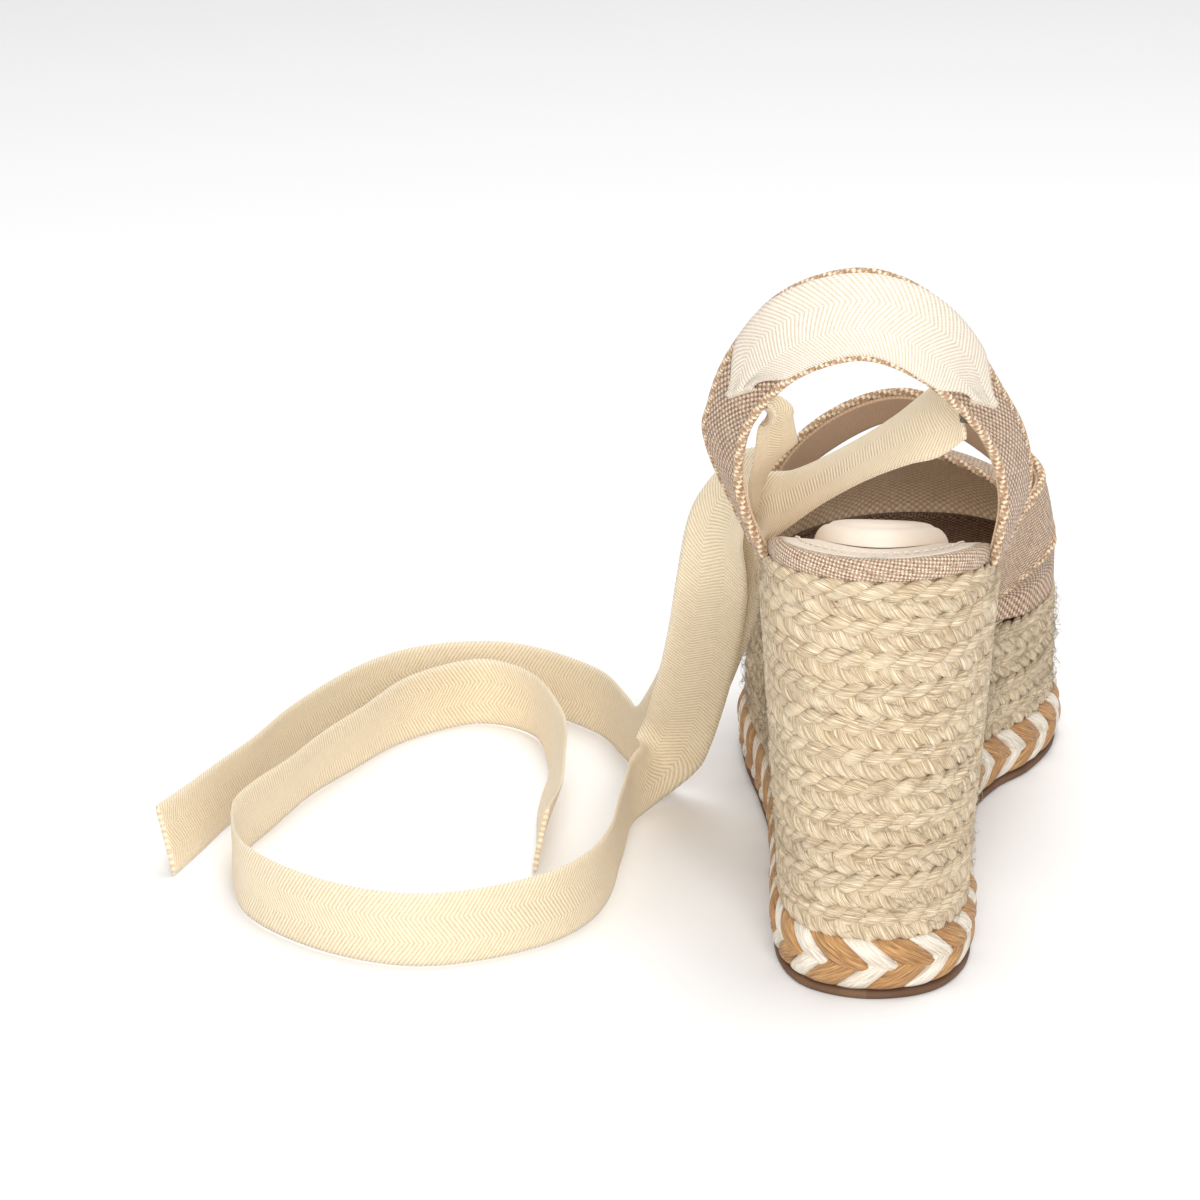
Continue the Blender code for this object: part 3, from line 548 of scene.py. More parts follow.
def cut_holes(obj, blocks):
    """Take closed blocks out of an object."""
    for block in blocks:
        tool = mesh_object("block", [block])
        modifier = obj.modifiers.new("cut", "BOOLEAN")
        modifier.operation = "DIFFERENCE"
        modifier.solver = "EXACT"
        modifier.object = tool
        depsgraph = bpy.context.evaluated_depsgraph_get()
        whole = obj.data
        obj.data = bpy.data.meshes.new_from_object(obj.evaluated_get(depsgraph))
        obj.modifiers.clear()
        bpy.data.meshes.remove(whole)
        bpy.data.objects.remove(tool, do_unlink=True)


def add_piece(name, parts, looks, nodes=(), body="sole", bend=False, holes=()):
    """One object from mesh parts. It rides on a CAD body, or, with bend, has its place baked into
    its mesh and rides on none.
    """
    obj = mesh_object(name, parts)
    for look in looks:
        obj.data.materials.append(LOOKS[look])
    cut_holes(obj, holes)
    if bend:
        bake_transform(obj)
    else:
        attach(obj, body)
    if nodes:
        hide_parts(*nodes)
    return obj


# ---- materials ----

def linear(screen):
    """A colour as the shaders take it, from its three 0 to 255 screen values."""
    def one(value):
        value /= 255
        return value / 12.92 if value <= 0.04045 else ((value + 0.055) / 1.055) ** 2.4
    return (*map(one, screen), 1.0)


class Graph:
    """Short ways to build one material's nodes."""

    def __init__(self, name, roughness=0.8, sheen=0.0):
        self.material = bpy.data.materials.new(name)
        self.material.use_nodes = True
        self.tree = self.material.node_tree
        self.shader = self.tree.nodes["Principled BSDF"]
        self.shader.inputs["Roughness"].default_value = roughness
        self.shader.inputs["Sheen Weight"].default_value = sheen
        self.shader.inputs["Sheen Roughness"].default_value = 0.5
        split = self.node("SeparateXYZ", self.node("TexCoord").outputs["UV"])
        self.u = self.times(split.outputs[0], 1000.0)
        self.v = self.times(split.outputs[1], 1000.0)

    def node(self, kind, *values):
        """A node with its first inputs fed."""
        node = self.tree.nodes.new("ShaderNode" + kind)
        for socket, value in zip(node.inputs, values):
            self.feed(socket, value)
        return node

    def feed(self, socket, value):
        """A socket takes a node's output, a number, or a colour as screen values."""
        if hasattr(value, "is_linked"):
            self.tree.links.new(value, socket)
        else:
            socket.default_value = linear(value) if isinstance(value, tuple) else value

    def math(self, operation, a, b=0.0, c=0.0):
        node = self.node("Math", a, b, c)
        node.operation = operation
        return node.outputs[0]

    def times(self, a, b):
        return self.math("MULTIPLY", a, b)

    def plus(self, a, b):
        return self.math("ADD", a, b)

    def minus(self, a, b):
        return self.math("SUBTRACT", a, b)

    def fused(self, a, b, c):
        """a times b plus c."""
        return self.math("MULTIPLY_ADD", a, b, c)

    def mix(self, factor, a, b):
        node = self.node("Mix")
        node.data_type = "RGBA"
        self.feed(node.inputs["Factor"], factor)
        self.feed(node.inputs[6], a)
        self.feed(node.inputs[7], b)
        return node.outputs[2]

    def wave(self, value, period):
        """A sine of value, from -1 to 1."""
        return self.math("SINE", self.times(value, 2 * math.pi / period))

    def share(self, factor, a, b):
        """a where factor is 1 and b where it is 0."""
        return self.plus(self.times(factor, a), self.times(self.minus(1.0, factor), b))

    def between(self, value, low, high):
        """value mapped from -1..1 to low..high."""
        return self.fused(value, (high - low) / 2, (high + low) / 2)

    def noise(self, x, y, scale, detail=2.0, roughness=0.5):
        node = self.node("TexNoise", self.node("CombineXYZ", x, y).outputs[0])
        for name, value in (("Scale", scale), ("Detail", detail), ("Roughness", roughness)):
            node.inputs[name].default_value = value
        return node.outputs["Fac"]

    def ramp(self, value, low, high):
        """0 below low, 1 above high."""
        return self.node("MapRange", value, low, high).outputs["Result"]

    def done(self, colour, height=None, depth=0.2):
        """depth is the relief's height in millimetres."""
        self.feed(self.shader.inputs["Base Color"], colour)
        if height is not None:
            bump = self.node("Bump")
            bump.inputs["Strength"].default_value = 1.0
            bump.inputs["Distance"].default_value = depth * MM
            self.feed(bump.inputs["Height"], height)
            self.feed(self.shader.inputs["Normal"], bump.outputs[0])
        return self.material


def woven(name, pitch, light, dark, depth=0.18, slub=0.5, roughness=0.85, tube=False, skew=0.0):
    """A plain weave of light and dark threads. On a tube, v runs once round it."""
    g = Graph(name, roughness, sheen=0.15)
    u, v = g.u, g.v
    if tube:
        v = g.times(v, 4 * pitch)
    if skew:
        u, v = g.fused(v, skew, u), g.fused(u, -skew, v)
    slow = g.minus(g.noise(u, v, 0.09, 3.0), 0.5)
    u2 = g.fused(slow, 1.2, u)
    v2 = g.fused(slow, -0.9, v)
    a = g.wave(u2, 2 * pitch)
    b = g.wave(v2, 2 * pitch)
    over = g.ramp(g.times(a, b), -0.12, 0.12)
    warp = g.math("ABSOLUTE", a)
    weft = g.math("ABSOLUTE", b)
    crown = g.share(over, warp, weft)
    thread = g.noise(g.times(u, 0.12), v, 1.1, 2.0)
    thread2 = g.noise(u, g.times(v, 0.12), 1.1, 2.0)
    vary = g.share(over, thread, thread2)
    tone = g.fused(g.minus(vary, 0.5), 2.2 * slub, over)
    tone = g.ramp(tone, -0.15, 1.15)
    colour = g.mix(tone, dark, light)
    # Painted shade: the hollows between the threads' crowns are mixed towards the dark thread
    # colour.
    shade = g.ramp(crown, -0.35, 0.75)
    colour = g.mix(shade, g.mix(0.55, colour, dark), colour)
    return g.done(colour, crown, depth)


def herringbone(name, light, dark):
    """Cotton tape: v is 0 at the tape's middle line."""
    g = Graph(name, 0.78, sheen=0.12)
    column = g.math("DIVIDE", g.plus(g.v, TWILL_COLUMN / 2), 2 * TWILL_COLUMN)
    zigzag = g.math("ABSOLUTE", g.minus(g.math("FRACT", column), 0.5))
    drift = g.minus(g.noise(g.u, g.v, 0.08, 2.0), 0.5)
    along = g.fused(zigzag, TWILL_RISE, g.fused(drift, 0.8, g.u))
    twill = g.wave(along, TWILL_PITCH)
    ribs = g.wave(g.v, TWILL_RIB)
    height = g.fused(ribs, 0.25, twill)
    thread = g.noise(g.u, g.times(g.v, 0.2), 1.6, 3.0)
    # The tone follows the twill's relief and is darker in its grooves, which is painted shade; the
    # threads' random tone lies on top.
    tone = g.fused(g.minus(thread, 0.5), 0.9, g.between(height, 0.0, 1.0))
    colour = g.mix(g.ramp(tone, -0.1, 0.75), dark, light)
    return g.done(colour, g.between(height, 0.0, 1.0), TWILL_DEPTH)


def fibrous(name, light, mid, dark, twist=2.6, depth=0.5, streak=1.0):
    """Jute strand: u along the strand in mm, v once round it."""
    g = Graph(name, 0.86, sheen=0.1)
    lane = g.fused(g.u, 1 / (twist * 5.5), g.v)
    fine = g.noise(g.times(g.u, 0.2), g.times(lane, 38.0 * streak), 1.0,
                   3.0, 0.65)
    coarse = g.noise(g.times(g.u, 0.12), g.times(lane, 13.0 * streak), 1.0,
                     2.0)
    patch = g.noise(g.times(g.u, 0.11), g.times(g.v, 0.8), 1.0, 2.0)
    height = g.fused(fine, 0.6, g.times(coarse, 0.7))
    tone = g.ramp(g.fused(fine, 0.6, g.times(coarse, 0.5)), 0.40, 0.66)
    colour = g.mix(tone, dark, mid)
    colour = g.mix(g.ramp(fine, 0.48, 0.68), colour, light)
    colour = g.mix(g.ramp(patch, 0.35, 0.75), colour, g.mix(0.4, colour, light))
    return g.done(colour, height, depth)


def plain(name, light, dark, scale=0.6, roughness=0.6, depth=0.08, sheen=0.0):
    """Leather, rubber or board with a fine grain."""
    g = Graph(name, roughness, sheen)
    fine = g.noise(g.u, g.v, scale * 3, 4.0, 0.6)
    broad = g.noise(g.u, g.v, 0.045, 3.0)
    colour = g.mix(g.ramp(broad, 0.3, 0.7), dark, light)
    colour = g.mix(g.ramp(fine, 0.3, 0.62), g.mix(0.35, colour, dark), colour)
    return g.done(colour, fine, depth)


LOOKS = {
    "jute": fibrous("jute_strand", (243, 229, 202), (212, 190, 154), (140, 108, 72)),
    # The band behind the plaits: jute painted darker than the strands, as painted shade in the
    # recesses between them.
    "jute_shaded_back": fibrous("jute_shaded_backing", (176, 146, 104), (150, 120, 82), (104, 78, 50)),
    "fuzz": fibrous("jute_fibre", (246, 234, 210), (228, 210, 176), (186, 156, 112)),
    "core": plain("jute_shadow", (150, 118, 78), (112, 84, 52), 0.8, 0.95),
    "trim_tan": fibrous("trim_tan", (212, 166, 112), (184, 136, 84), (112, 74, 40), twist=9.0),
    "trim_white": fibrous("trim_white", (240, 233, 221), (226, 216, 200), (182, 168, 146),
                          twist=30.0, depth=0.3, streak=0.8),
    "linen": woven("linen", WEAVE_LINEN, (232, 204, 174), (126, 90, 64), 0.3, 1.0),
    "bead": woven("linen_bead", WEAVE_BEAD, (236, 214, 184), (160, 120, 84), 0.3, 1.0,
                  tube=True, skew=0.6),
    "rim": woven("linen_rim", WEAVE_RIM, (240, 219, 194), (150, 112, 82), 0.3, 1.1, skew=0.7),
    # The vamp's inner face: linen painted lighter than outside, as painted light on the inside of
    # the closed toe, which the lamps leave in shade.
    "inside": woven("linen_inside_painted_light", WEAVE_LINEN, (244, 226, 208), (200, 172, 148), 0.2, 0.9),
    "lining": woven("strap_lining", WEAVE_LINING, (222, 194, 164), (202, 170, 138), 0.06, 0.2),
    "leather": plain("sock_leather", (228, 216, 202), (216, 202, 185), 0.5, 0.5, 0.06),
    "thread": plain("thread", (232, 222, 206), (208, 192, 170), 1.5, 0.7, 0.05),
    "rubber": plain("outsole_rubber", (120, 88, 62), (92, 64, 44), 0.5, 0.75, 0.12),
    # The slot facings are a real part, but their dark colour is painted shade for the slits seen
    # through the slots.
    "facing": woven("slot_facing", WEAVE_FACING, (112, 106, 84), (66, 62, 46), 0.08, 0.2),
    "tape": herringbone("twill_tape", (231, 221, 206), (202, 184, 160)),
    # The loose ends' tape: the same tape painted warmer and more golden, as painted bounce light
    # inside the turned tape.
    "tape_painted_bounce": herringbone("twill_tape_painted_bounce", (236, 220, 192), (204, 180, 144)),
}
for cloth, weight in CLOTH_GLOW_WEIGHTS:
    shader = LOOKS[cloth].node_tree.nodes["Principled BSDF"]
    shader.inputs["Subsurface Weight"].default_value = weight
    shader.inputs["Subsurface Radius"].default_value = CLOTH_GLOW_TINT
    shader.inputs["Subsurface Scale"].default_value = CLOTH_GLOW * MM


# ---- jute wall ----

def row_level(row, y):
    """The height of a row's foot at a place along the sole."""
    heel_step = (RIM_HEEL - GAP - TRIM_TOP) / ROWS
    ball_step = (RIM_BALL - TRIM_TOP) / BALL_ROWS
    step = heel_step + (ball_step - heel_step) * smoothstep(y, *ROW_FAN)
    return TRIM_TOP + row * step


def row_span(row):
    """The stations that a row covers, as (first, last, closed)."""
    y = GROUND[:, 1]
    top = rim_height(TOP[:, 1]) - GAP / 2
    height = np.minimum(row_level(row + 1, y), top) - row_level(row, y)
    is_open = height > ROW_MIN
    if is_open.all():
        return 0, STATIONS, True
    gap = np.flatnonzero(~is_open)
    return gap[-1] + 1, gap[0] - 1 + STATIONS, False


def plait_row(row):
    """Strands plaited flat against the wall, over a plain band."""
    first, last, closed = row_span(row)
    station = lengths(looped(GROUND))[-1] / STATIONS
    count = int((last - first) * station / PLAIT_STEP)
    place = np.linspace(first, last, count, endpoint=not closed)
    y = wall(place, 0.0, 0.0)[:, 1]
    top = rim_height(wall(place, WALL_TOP, 0.0)[:, 1]) - GAP / 2
    low = row_level(row, y) + (SEAM_GAP if row in SEAM_ROWS else 0.0)
    high = np.minimum(row_level(row + 1, y), top)
    middle = (low + high) / 2
    height = high - low
    periods = (last - first) * station / PLAIT_PERIOD
    if closed:
        periods = round(periods)
    phase = 2 * math.pi * periods * np.arange(count) / count + row * ROW_PHASE
    slow = RANDOM.uniform(0, 6, 3)
    sway = phase / periods * round(periods / 5) if closed else phase / 5
    phase = phase + 0.45 * np.sin(sway + slow[0])
    outward = wall_outward(place)
    parts = []
    for strand in range(PLAIT_STRANDS):
        turn = phase + strand * 2 * math.pi / PLAIT_STRANDS
        uneven = (1 + STRAND_UNEVEN * np.sin(turn * 2 + slow[1])
                  + STRAND_UNEVEN * np.sin(phase * 0.37 + strand * 2 + slow[2]))
        radius = STRAND_RADIUS * height * uneven
        across = (0.5 * height + 0.8 - radius * 0.95) * np.sin(turn)
        depth = STRAND_SWING * np.sin(2 * turn + 0.15) * np.clip(height / 8.0, 0.3, 1.0)
        centres = wall(place, middle + across, STRAND_DEPTH + depth)
        centres[:, 2] = middle + across
        parts.append(tube_part(centres, outward, radius, STRAND_FLAT, STRAND_SIDES, closed,
                               shift=row * 37.0 + strand * 11.0))
    # The band behind the strands takes the darker jute, which is painted shade in the gaps between
    # them.
    band = np.stack([wall(place, level, BAND_DEPTH)
                     for level in (low - 0.3, middle, high + 0.2)], 1)
    around = lengths(looped(band[:, 1]) if closed else band[:, 1])
    parts.append(grid_part(band, uv_grid(around, (0.0, 0.5, 1.0)), 1, close_u=closed))
    add_piece(f"plait_{row + 1:02d}", parts, ["jute", "jute_shaded_back"], [f"jute_row_{row + 1:02d}"])


def jute_fuzz():
    """Stray fibres that stand off the plaits."""
    parts = []
    for fibre in range(FUZZ_FIBRES):
        place = RANDOM.uniform(0, STATIONS)
        y = np.interp(place, LOOP[:-1], GROUND[:, 1])
        z = RANDOM.uniform(TRIM_TOP + 1, rim_height(y) - 1)
        length = RANDOM.uniform(*FUZZ_LENGTH)
        lift = RANDOM.uniform(*FUZZ_LIFT) * RANDOM.uniform(0.2, 1.0)
        steps = np.linspace(0, 1, 6)
        slope = RANDOM.uniform(-0.9, 0.9)
        bow = RANDOM.uniform(-1.2, 1.2)
        run = place + steps * length * RANDOM.choice([-1, 1])
        height = np.clip(z + slope * length * steps * 0.6 + bow * np.sin(math.pi * steps),
                         TRIM_TOP, rim_height(y) - 0.5)
        grow = -0.8 + (0.8 + lift) * np.sin(math.pi * np.clip(steps * RANDOM.uniform(0.5, 1), 0, 1))
        centres = wall(run, height, grow)
        centres[:, 2] = height
        radius = RANDOM.uniform(*FUZZ_RADIUS) * np.array([1, 1, 1, 0.9, 0.8, 0.5])
        parts.append(tube_part(centres, wall_outward(run), radius, 1.0, 3, shift=fibre * 3.1))
    add_piece("jute_fuzz", parts, ["fuzz"])


# ---- trim and outsole ----

def trim_braid():
    """White and tan strands that meet in a row of chevrons."""
    low, high = OUTSOLE_TOP + 0.2, TRIM_TOP + 0.3
    middle, half = (low + high) / 2, (high - low) / 2
    pair = STATIONS / TRIM_PAIRS
    parts = []
    u = np.linspace(-TRIM_TAIL, 1.0, 12)[:, None]
    v = np.linspace(-1, 1, 11)[None, :]
    for i in range(TRIM_PAIRS):
        for look, start, share in ((0, 0.0, TRIM_WHITE_SHARE),
                                   (1, TRIM_WHITE_SHARE, 1 - TRIM_WHITE_SHARE)):
            wide = pair * share * TRIM_OVERLAP
            centre = (i + start) * pair + pair * share / 2
            for side in (-1, 1):
                jitter = RANDOM.uniform(-0.25, 0.25)
                place = centre + jitter + v * wide / 2 - u * TRIM_SLANT + side * 0.9
                rise = side * (u * half * (1.0 - 0.05 * v * v))
                crown = np.sqrt(np.clip(1 - v ** 2, 0, 1)) ** 0.75
                run = np.clip((u + TRIM_TAIL) / (1 + TRIM_TAIL), 0, 1)
                run = np.sin(math.pi * run ** 0.85) ** 0.55
                swell = TRIM_SWELL + 0.25 * RANDOM.uniform(-1, 1)
                depth = -1.1 + swell * crown * run + (0.25 if look else 0.0) * run
                z = middle + rise
                outer = wall(place, TRIM_TOP, depth + 1.0)
                outer[..., 2] = z
                back = wall(place, TRIM_TOP, TRIM_BACK)
                back[..., 2] = z
                uv = np.stack([u * half * 1.6 + 0 * v + i * 13.0 + side * 5.0,
                               (v * 0.5 + 0.5) * 0.5 + 0 * u], -1)
                part = shell_part(outer, back, uv, look)
                if side > 0:
                    part = flip(part)
                parts.append(part)
    add_piece("trim_plait", parts, ["trim_white", "trim_tan"], ["trim_braid"])
    inner = np.stack([ring(z, -1.0) for z in np.linspace(OUTSOLE_TOP, TRIM_TOP + 0.6, 4)], 1)
    backing = grid_part(inner, uv_grid(LOOP, np.linspace(0, 12, 4)), close_u=True)
    add_piece("trim_backing", [backing], ["core"])


def outsole():
    """Rubber slab with a rounded edge."""
    grid = np.stack([ring(z, grow) for z, grow in OUTSOLE_EDGE], 1)
    uv = uv_grid(LOOP, np.arange(len(OUTSOLE_EDGE)) * 1.2)
    parts = [grid_part(grid, uv, close_u=True)]
    k = LOOP[:HALF + 1]
    for row, order in ((0, -1), (len(OUTSOLE_EDGE) - 1, 1)):
        a, b = grid[k, row], grid[(STATIONS - k) % STATIONS, row]
        share = np.linspace(0, 1, 9)[None, :, None]
        face = a[:, None] * (1 - share) + b[:, None] * share
        part = grid_part(face, face[..., :2].copy())
        parts.append(flip(part) if order > 0 else part)
    add_piece("outsole", parts, ["rubber"], ["rubber_outsole"])


# ---- footbed ----

def rim_wrap():
    """Linen folded over the edge of the insole."""
    inset = rim_inset(TOP[:, 1])[:, None]
    turns = np.linspace(0, 2 * math.pi, 20, endpoint=False)[None, :]
    across = np.sign(np.cos(turns)) * np.abs(np.cos(turns)) ** 0.6
    upward = np.sign(np.sin(turns)) * np.abs(np.sin(turns)) ** 0.7
    middle = footbed_ring(0.0, -inset[:, 0] - RIM_WALL / 2)
    out = wall_outward(np.arange(STATIONS))
    points = middle[:, None] + out[:, None] * (across * (RIM_WALL / 2 + 0.5))[..., None]
    points[..., 2] = rim_height(points[..., 1]) + RIM_HEIGHT / 2 + 0.1 + upward * RIM_HEIGHT / 2
    uv = uv_grid(lengths(looped(middle)), lengths(looped(points[0])))
    add_piece("rim_wrap", [flip(grid_part(points, uv, close_u=True, close_v=True))], ["rim"],
              ["insole_rim_wrap"])


def footbed_part(first_y, last_y, rise, thick, columns=25):
    """A layer of the footbed between two places along the foot, slightly dished."""
    inset = rim_inset(TOP[:, 1]) + RIM_WALL - FOOTBED_TUCK
    edge = footbed_ring(0.0, -inset)
    keep = [k for k in range(0, HALF + 1) if first_y <= TOP[k, 1] <= last_y]
    share = np.linspace(0, 1, columns)[None, :, None]
    a, b = edge[keep][:, None], edge[[(STATIONS - k) % STATIONS for k in keep]][:, None]
    points = a * (1 - share) + b * share
    bowl = FOOTBED_DISH * (1 - (2 * share[..., 0] - 1) ** 2)
    points[..., 2] = rim_height(points[..., 1]) + rise - bowl
    under = points - np.array([0, 0, thick])
    return flip(shell_part(points, under, np.ascontiguousarray(points[..., :2])))


def footbed():
    """The stitched sock under the heel and the linen in front of it."""
    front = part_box("heel_sock")[1].y / MM
    sock = footbed_part(-math.inf, front, SOCK_TOP, SOCK_THICK)
    add_piece("sock", [sock, *stitch_line(sock_line(front, STITCH_INSET), 1)],
              ["leather", "thread"], ["heel_sock"])
    cover = footbed_part(front + 0.4, math.inf, COVER_TOP, COVER_THICK)
    add_piece("cover", [cover], ["linen"], ["insole_cover"])


def sock_line(front, inset):
    """A line round the heel sock, inset from its edge."""
    edge = footbed_ring(0.0, -(rim_inset(TOP[:, 1]) + RIM_WALL + inset))
    order = np.arange(-HALF, HALF)
    line = edge[order % STATIONS]
    line = line[line[:, 1] < front - inset]
    line[:, 2] = rim_height(line[:, 1]) + SOCK_TOP - 0.28
    return line


def stitch_line(line, look):
    """Short stitches raised above a line."""
    along = lengths(line)
    up = np.broadcast_to((0.0, 0.0, 1.0), (5, 3))
    rise = np.sin(np.linspace(0, math.pi, 5))[:, None] * STITCH_RADIUS
    thick = STITCH_RADIUS * np.array([0.45, 0.95, 1.0, 0.95, 0.45])
    parts = []
    for start in np.arange(STITCH_PITCH / 2, along[-1] - STITCH_LENGTH, STITCH_PITCH):
        centres = read(line, start + np.linspace(0, STITCH_LENGTH, 5), along)
        parts.append(tube_part(centres + up * rise, up, thick, 1.0, 6, look=look))
    return parts


def heel_pad():
    """Raised oval pad of soft leather with a rounded edge."""
    rings, around = 26, 72
    share = np.linspace(0, 1, rings)[:, None]
    turn = np.linspace(0, 2 * math.pi, around, endpoint=False)[None, :]
    wide = np.sin(share * math.pi / 2) ** 0.9
    x = PAD_HALF[0] * wide * np.cos(turn)
    y = PAD_CENTRE_Y + PAD_HALF[1] * wide * np.sin(turn)
    profile = (1 - wide ** 5) ** 0.55
    depth, place, width = PAD_CREASE
    crease = depth * np.exp(-((wide - place) / width) ** 2)
    z = rim_height(y) + SOCK_TOP - PAD_SINK + (PAD_RISE + PAD_SINK) * profile - crease
    points = np.stack([x, y, z], -1)
    uv = np.concatenate([points[..., :2], points[:, :1, :2]], 1)
    part = grid_part(points, uv, close_v=True)
    pad = add_piece("pad", [part], ["leather"], ["heel_pad"])


# ---- forefoot upper ----

def bead(line, outward, radius, look=0):
    """A rolled edge of linen."""
    return tube_part(line, outward, radius, 1.0, 12, look=look)


def toe_path(count):
    """The vamp's foot on the insole, round the toe from the outer to the inner side."""
    edge = footbed_ring(UPPER_LIFT, -UPPER_INSET)
    corners = [side_point(smooth_value(VAMP_REAR_EDGE, share), side)
               for share, side in ((0, -1), (1, 1))]
    right, left = edge[ENDS:HALF], edge[HALF:STATIONS - ENDS]
    ahead = np.vstack([right[right[:, 1] > corners[1][1] + 4],
                       left[left[:, 1] > corners[0][1] + 4]])[::-1]
    return curve([corners[0], *ahead[::8], corners[1]], count)


def toe_vamp(count=121, steps=31):
    """Linen over the toes, from the rear edge down to the insole's rim."""
    share = np.linspace(0, 1, count)
    rear = last_point(share, smooth_value(VAMP_REAR_EDGE, share))
    foot = toe_path(count)
    base = foot + np.array([0.0, 0.0, RIM_HEIGHT])
    rear[:, 2] = np.maximum(rear[:, 2], base[:, 2])
    power = TOE_ROUNDING[0] + (TOE_ROUNDING[1] - TOE_ROUNDING[0]) * abs(2 * share - 1) ** 1.5
    turn = np.linspace(0, 1, steps) * math.pi / 2
    ahead = np.sin(turn)[None, :] ** (2 / power[:, None])
    down = np.cos(turn)[None, :] ** (2 / power[:, None])
    surface = np.zeros((count, steps, 3))
    surface[..., :2] = rear[:, None, :2] + (base - rear)[:, None, :2] * ahead[..., None]
    surface[..., 2] = base[:, None, 2] + (rear - base)[:, None, 2] * down
    wall_rows = foot[:, None] + (base - foot)[:, None] * np.linspace(0.75, 0, 4)[None, :, None]
    surface = np.concatenate([surface, wall_rows], 1)
    normal = np.cross(np.gradient(surface, axis=0), np.gradient(surface, axis=1))
    normal[:3] = normal[3]
    normal[-3:] = normal[-4]
    normal[:, 0] = normal[:, 1]
    normal = unit(normal)
    normal *= np.sign(normal[count // 2, steps // 2, 2])
    outer = surface + normal * CLOTH
    inner = surface + normal * 0.05
    # Its inner face takes the inside linen, which is painted lighter as painted light.
    part = shell_part(outer, inner, grid_uv(surface), 0, 2)
    rolled = bead(surface[:, 0] + normal[:, 0] * CLOTH / 2, normal[:, 0], VAMP_BEAD, 1)
    add_piece("vamp", [part, rolled], ["linen", "bead", "inside"], ["toe_vamp"])


def instep_panel(first, last, rear, front, count=121, along=22):
    """The last's surface under the strap, with its edges moved by rear and front along y."""
    share = np.linspace(first, last, count)[:, None] + np.zeros((1, along + 1))
    blend = np.linspace(0, 1, along + 1)[None, :]
    y = (smooth_value(THROAT_EDGE, share) + rear) * (1 - blend) + (
        smooth_value(STRAP_FRONT_EDGE, share) + front) * blend
    return last_point(share, y), last_normal(share, y)


def instep_strap():
    """The strap over the instep, its lining and the rolled throat edge."""
    surface, normal = instep_panel(0.0, 1.0, *INSTEP_EDGES)
    part = shell_part(surface + normal * CLOTH, surface + normal * 0.1, grid_uv(surface))
    front = surface[:, -1] + normal[:, -1] * CLOTH / 2
    add_piece("strap_instep", [part, bead(front, normal[:, -1], FRONT_BEAD, 1)],
              ["linen", "bead"], ["instep_strap"])
    surface, normal = instep_panel(*INSTEP_LINING, *INSTEP_LINING_EDGES)
    part = shell_part(surface + normal * 0.05, surface + normal * LINING[0], grid_uv(surface))
    add_piece("instep_inside", [part], ["lining"], ["instep_strap_lining"])
    share = np.linspace(0, 1, 201)
    y = smooth_value(THROAT_EDGE, share) + BINDING
    normal = last_normal(share, y)
    line = last_point(share, y) + normal * CLOTH / 2
    add_piece("throat_bead", [bead(line, normal, BINDING)], ["bead"], ["vamp_throat_binding"])


# ---- heel strap ----

def slot_frame(slot):
    """The slot's centre, the strap's outward direction there, and the slot's own direction."""
    share, level, turn = slot
    out = strap_normal(share, level)
    run = unit(strap_point(share + 0.01, level) - strap_point(share - 0.01, level))
    rise = np.cross(out, run)
    across = rise * math.cos(math.radians(turn)) + run * math.sin(math.radians(turn))
    return strap_point(share, level), out, across


def slot_block(slot, length, width, depths):
    """A closed block at a slot, in line with it."""
    centre, out, across = slot_frame(slot)
    along = np.cross(across, out)
    corners = [(-0.5, -0.5), (0.5, -0.5), (0.5, 0.5), (-0.5, 0.5)]
    points = np.array([centre + out * depth + across * (length * a) + along * (width * b)
                       for depth in depths for a, b in corners])
    faces = np.array([(3, 2, 1, 0), (4, 5, 6, 7), (0, 1, 5, 4), (1, 2, 6, 5), (2, 3, 7, 6),
                      (3, 0, 4, 7)])
    uv = np.stack([(points - centre) @ across, (points - centre) @ along], -1)
    return {"points": points, "faces": faces, "uv": uv[faces], "look": np.zeros(6, int)}


def strap_layer(layer, columns=19):
    """The strap's cloth between two depths, inside its bindings."""
    share = np.linspace(0.0, 1.0, STRAP_STEPS)[:, None] + np.zeros((1, columns))
    across = np.linspace(STRAP_EDGE, 1 - STRAP_EDGE, columns)[None, :] + np.zeros((STRAP_STEPS, 1))
    surface = strap_point(share, across)
    normal = strap_normal(share, across)
    uv = np.stack([share * STRAP_RUN, (across - 0.5) * STRAP_WIDTH], -1)
    return shell_part(surface + normal * layer[1], surface + normal * layer[0], uv)


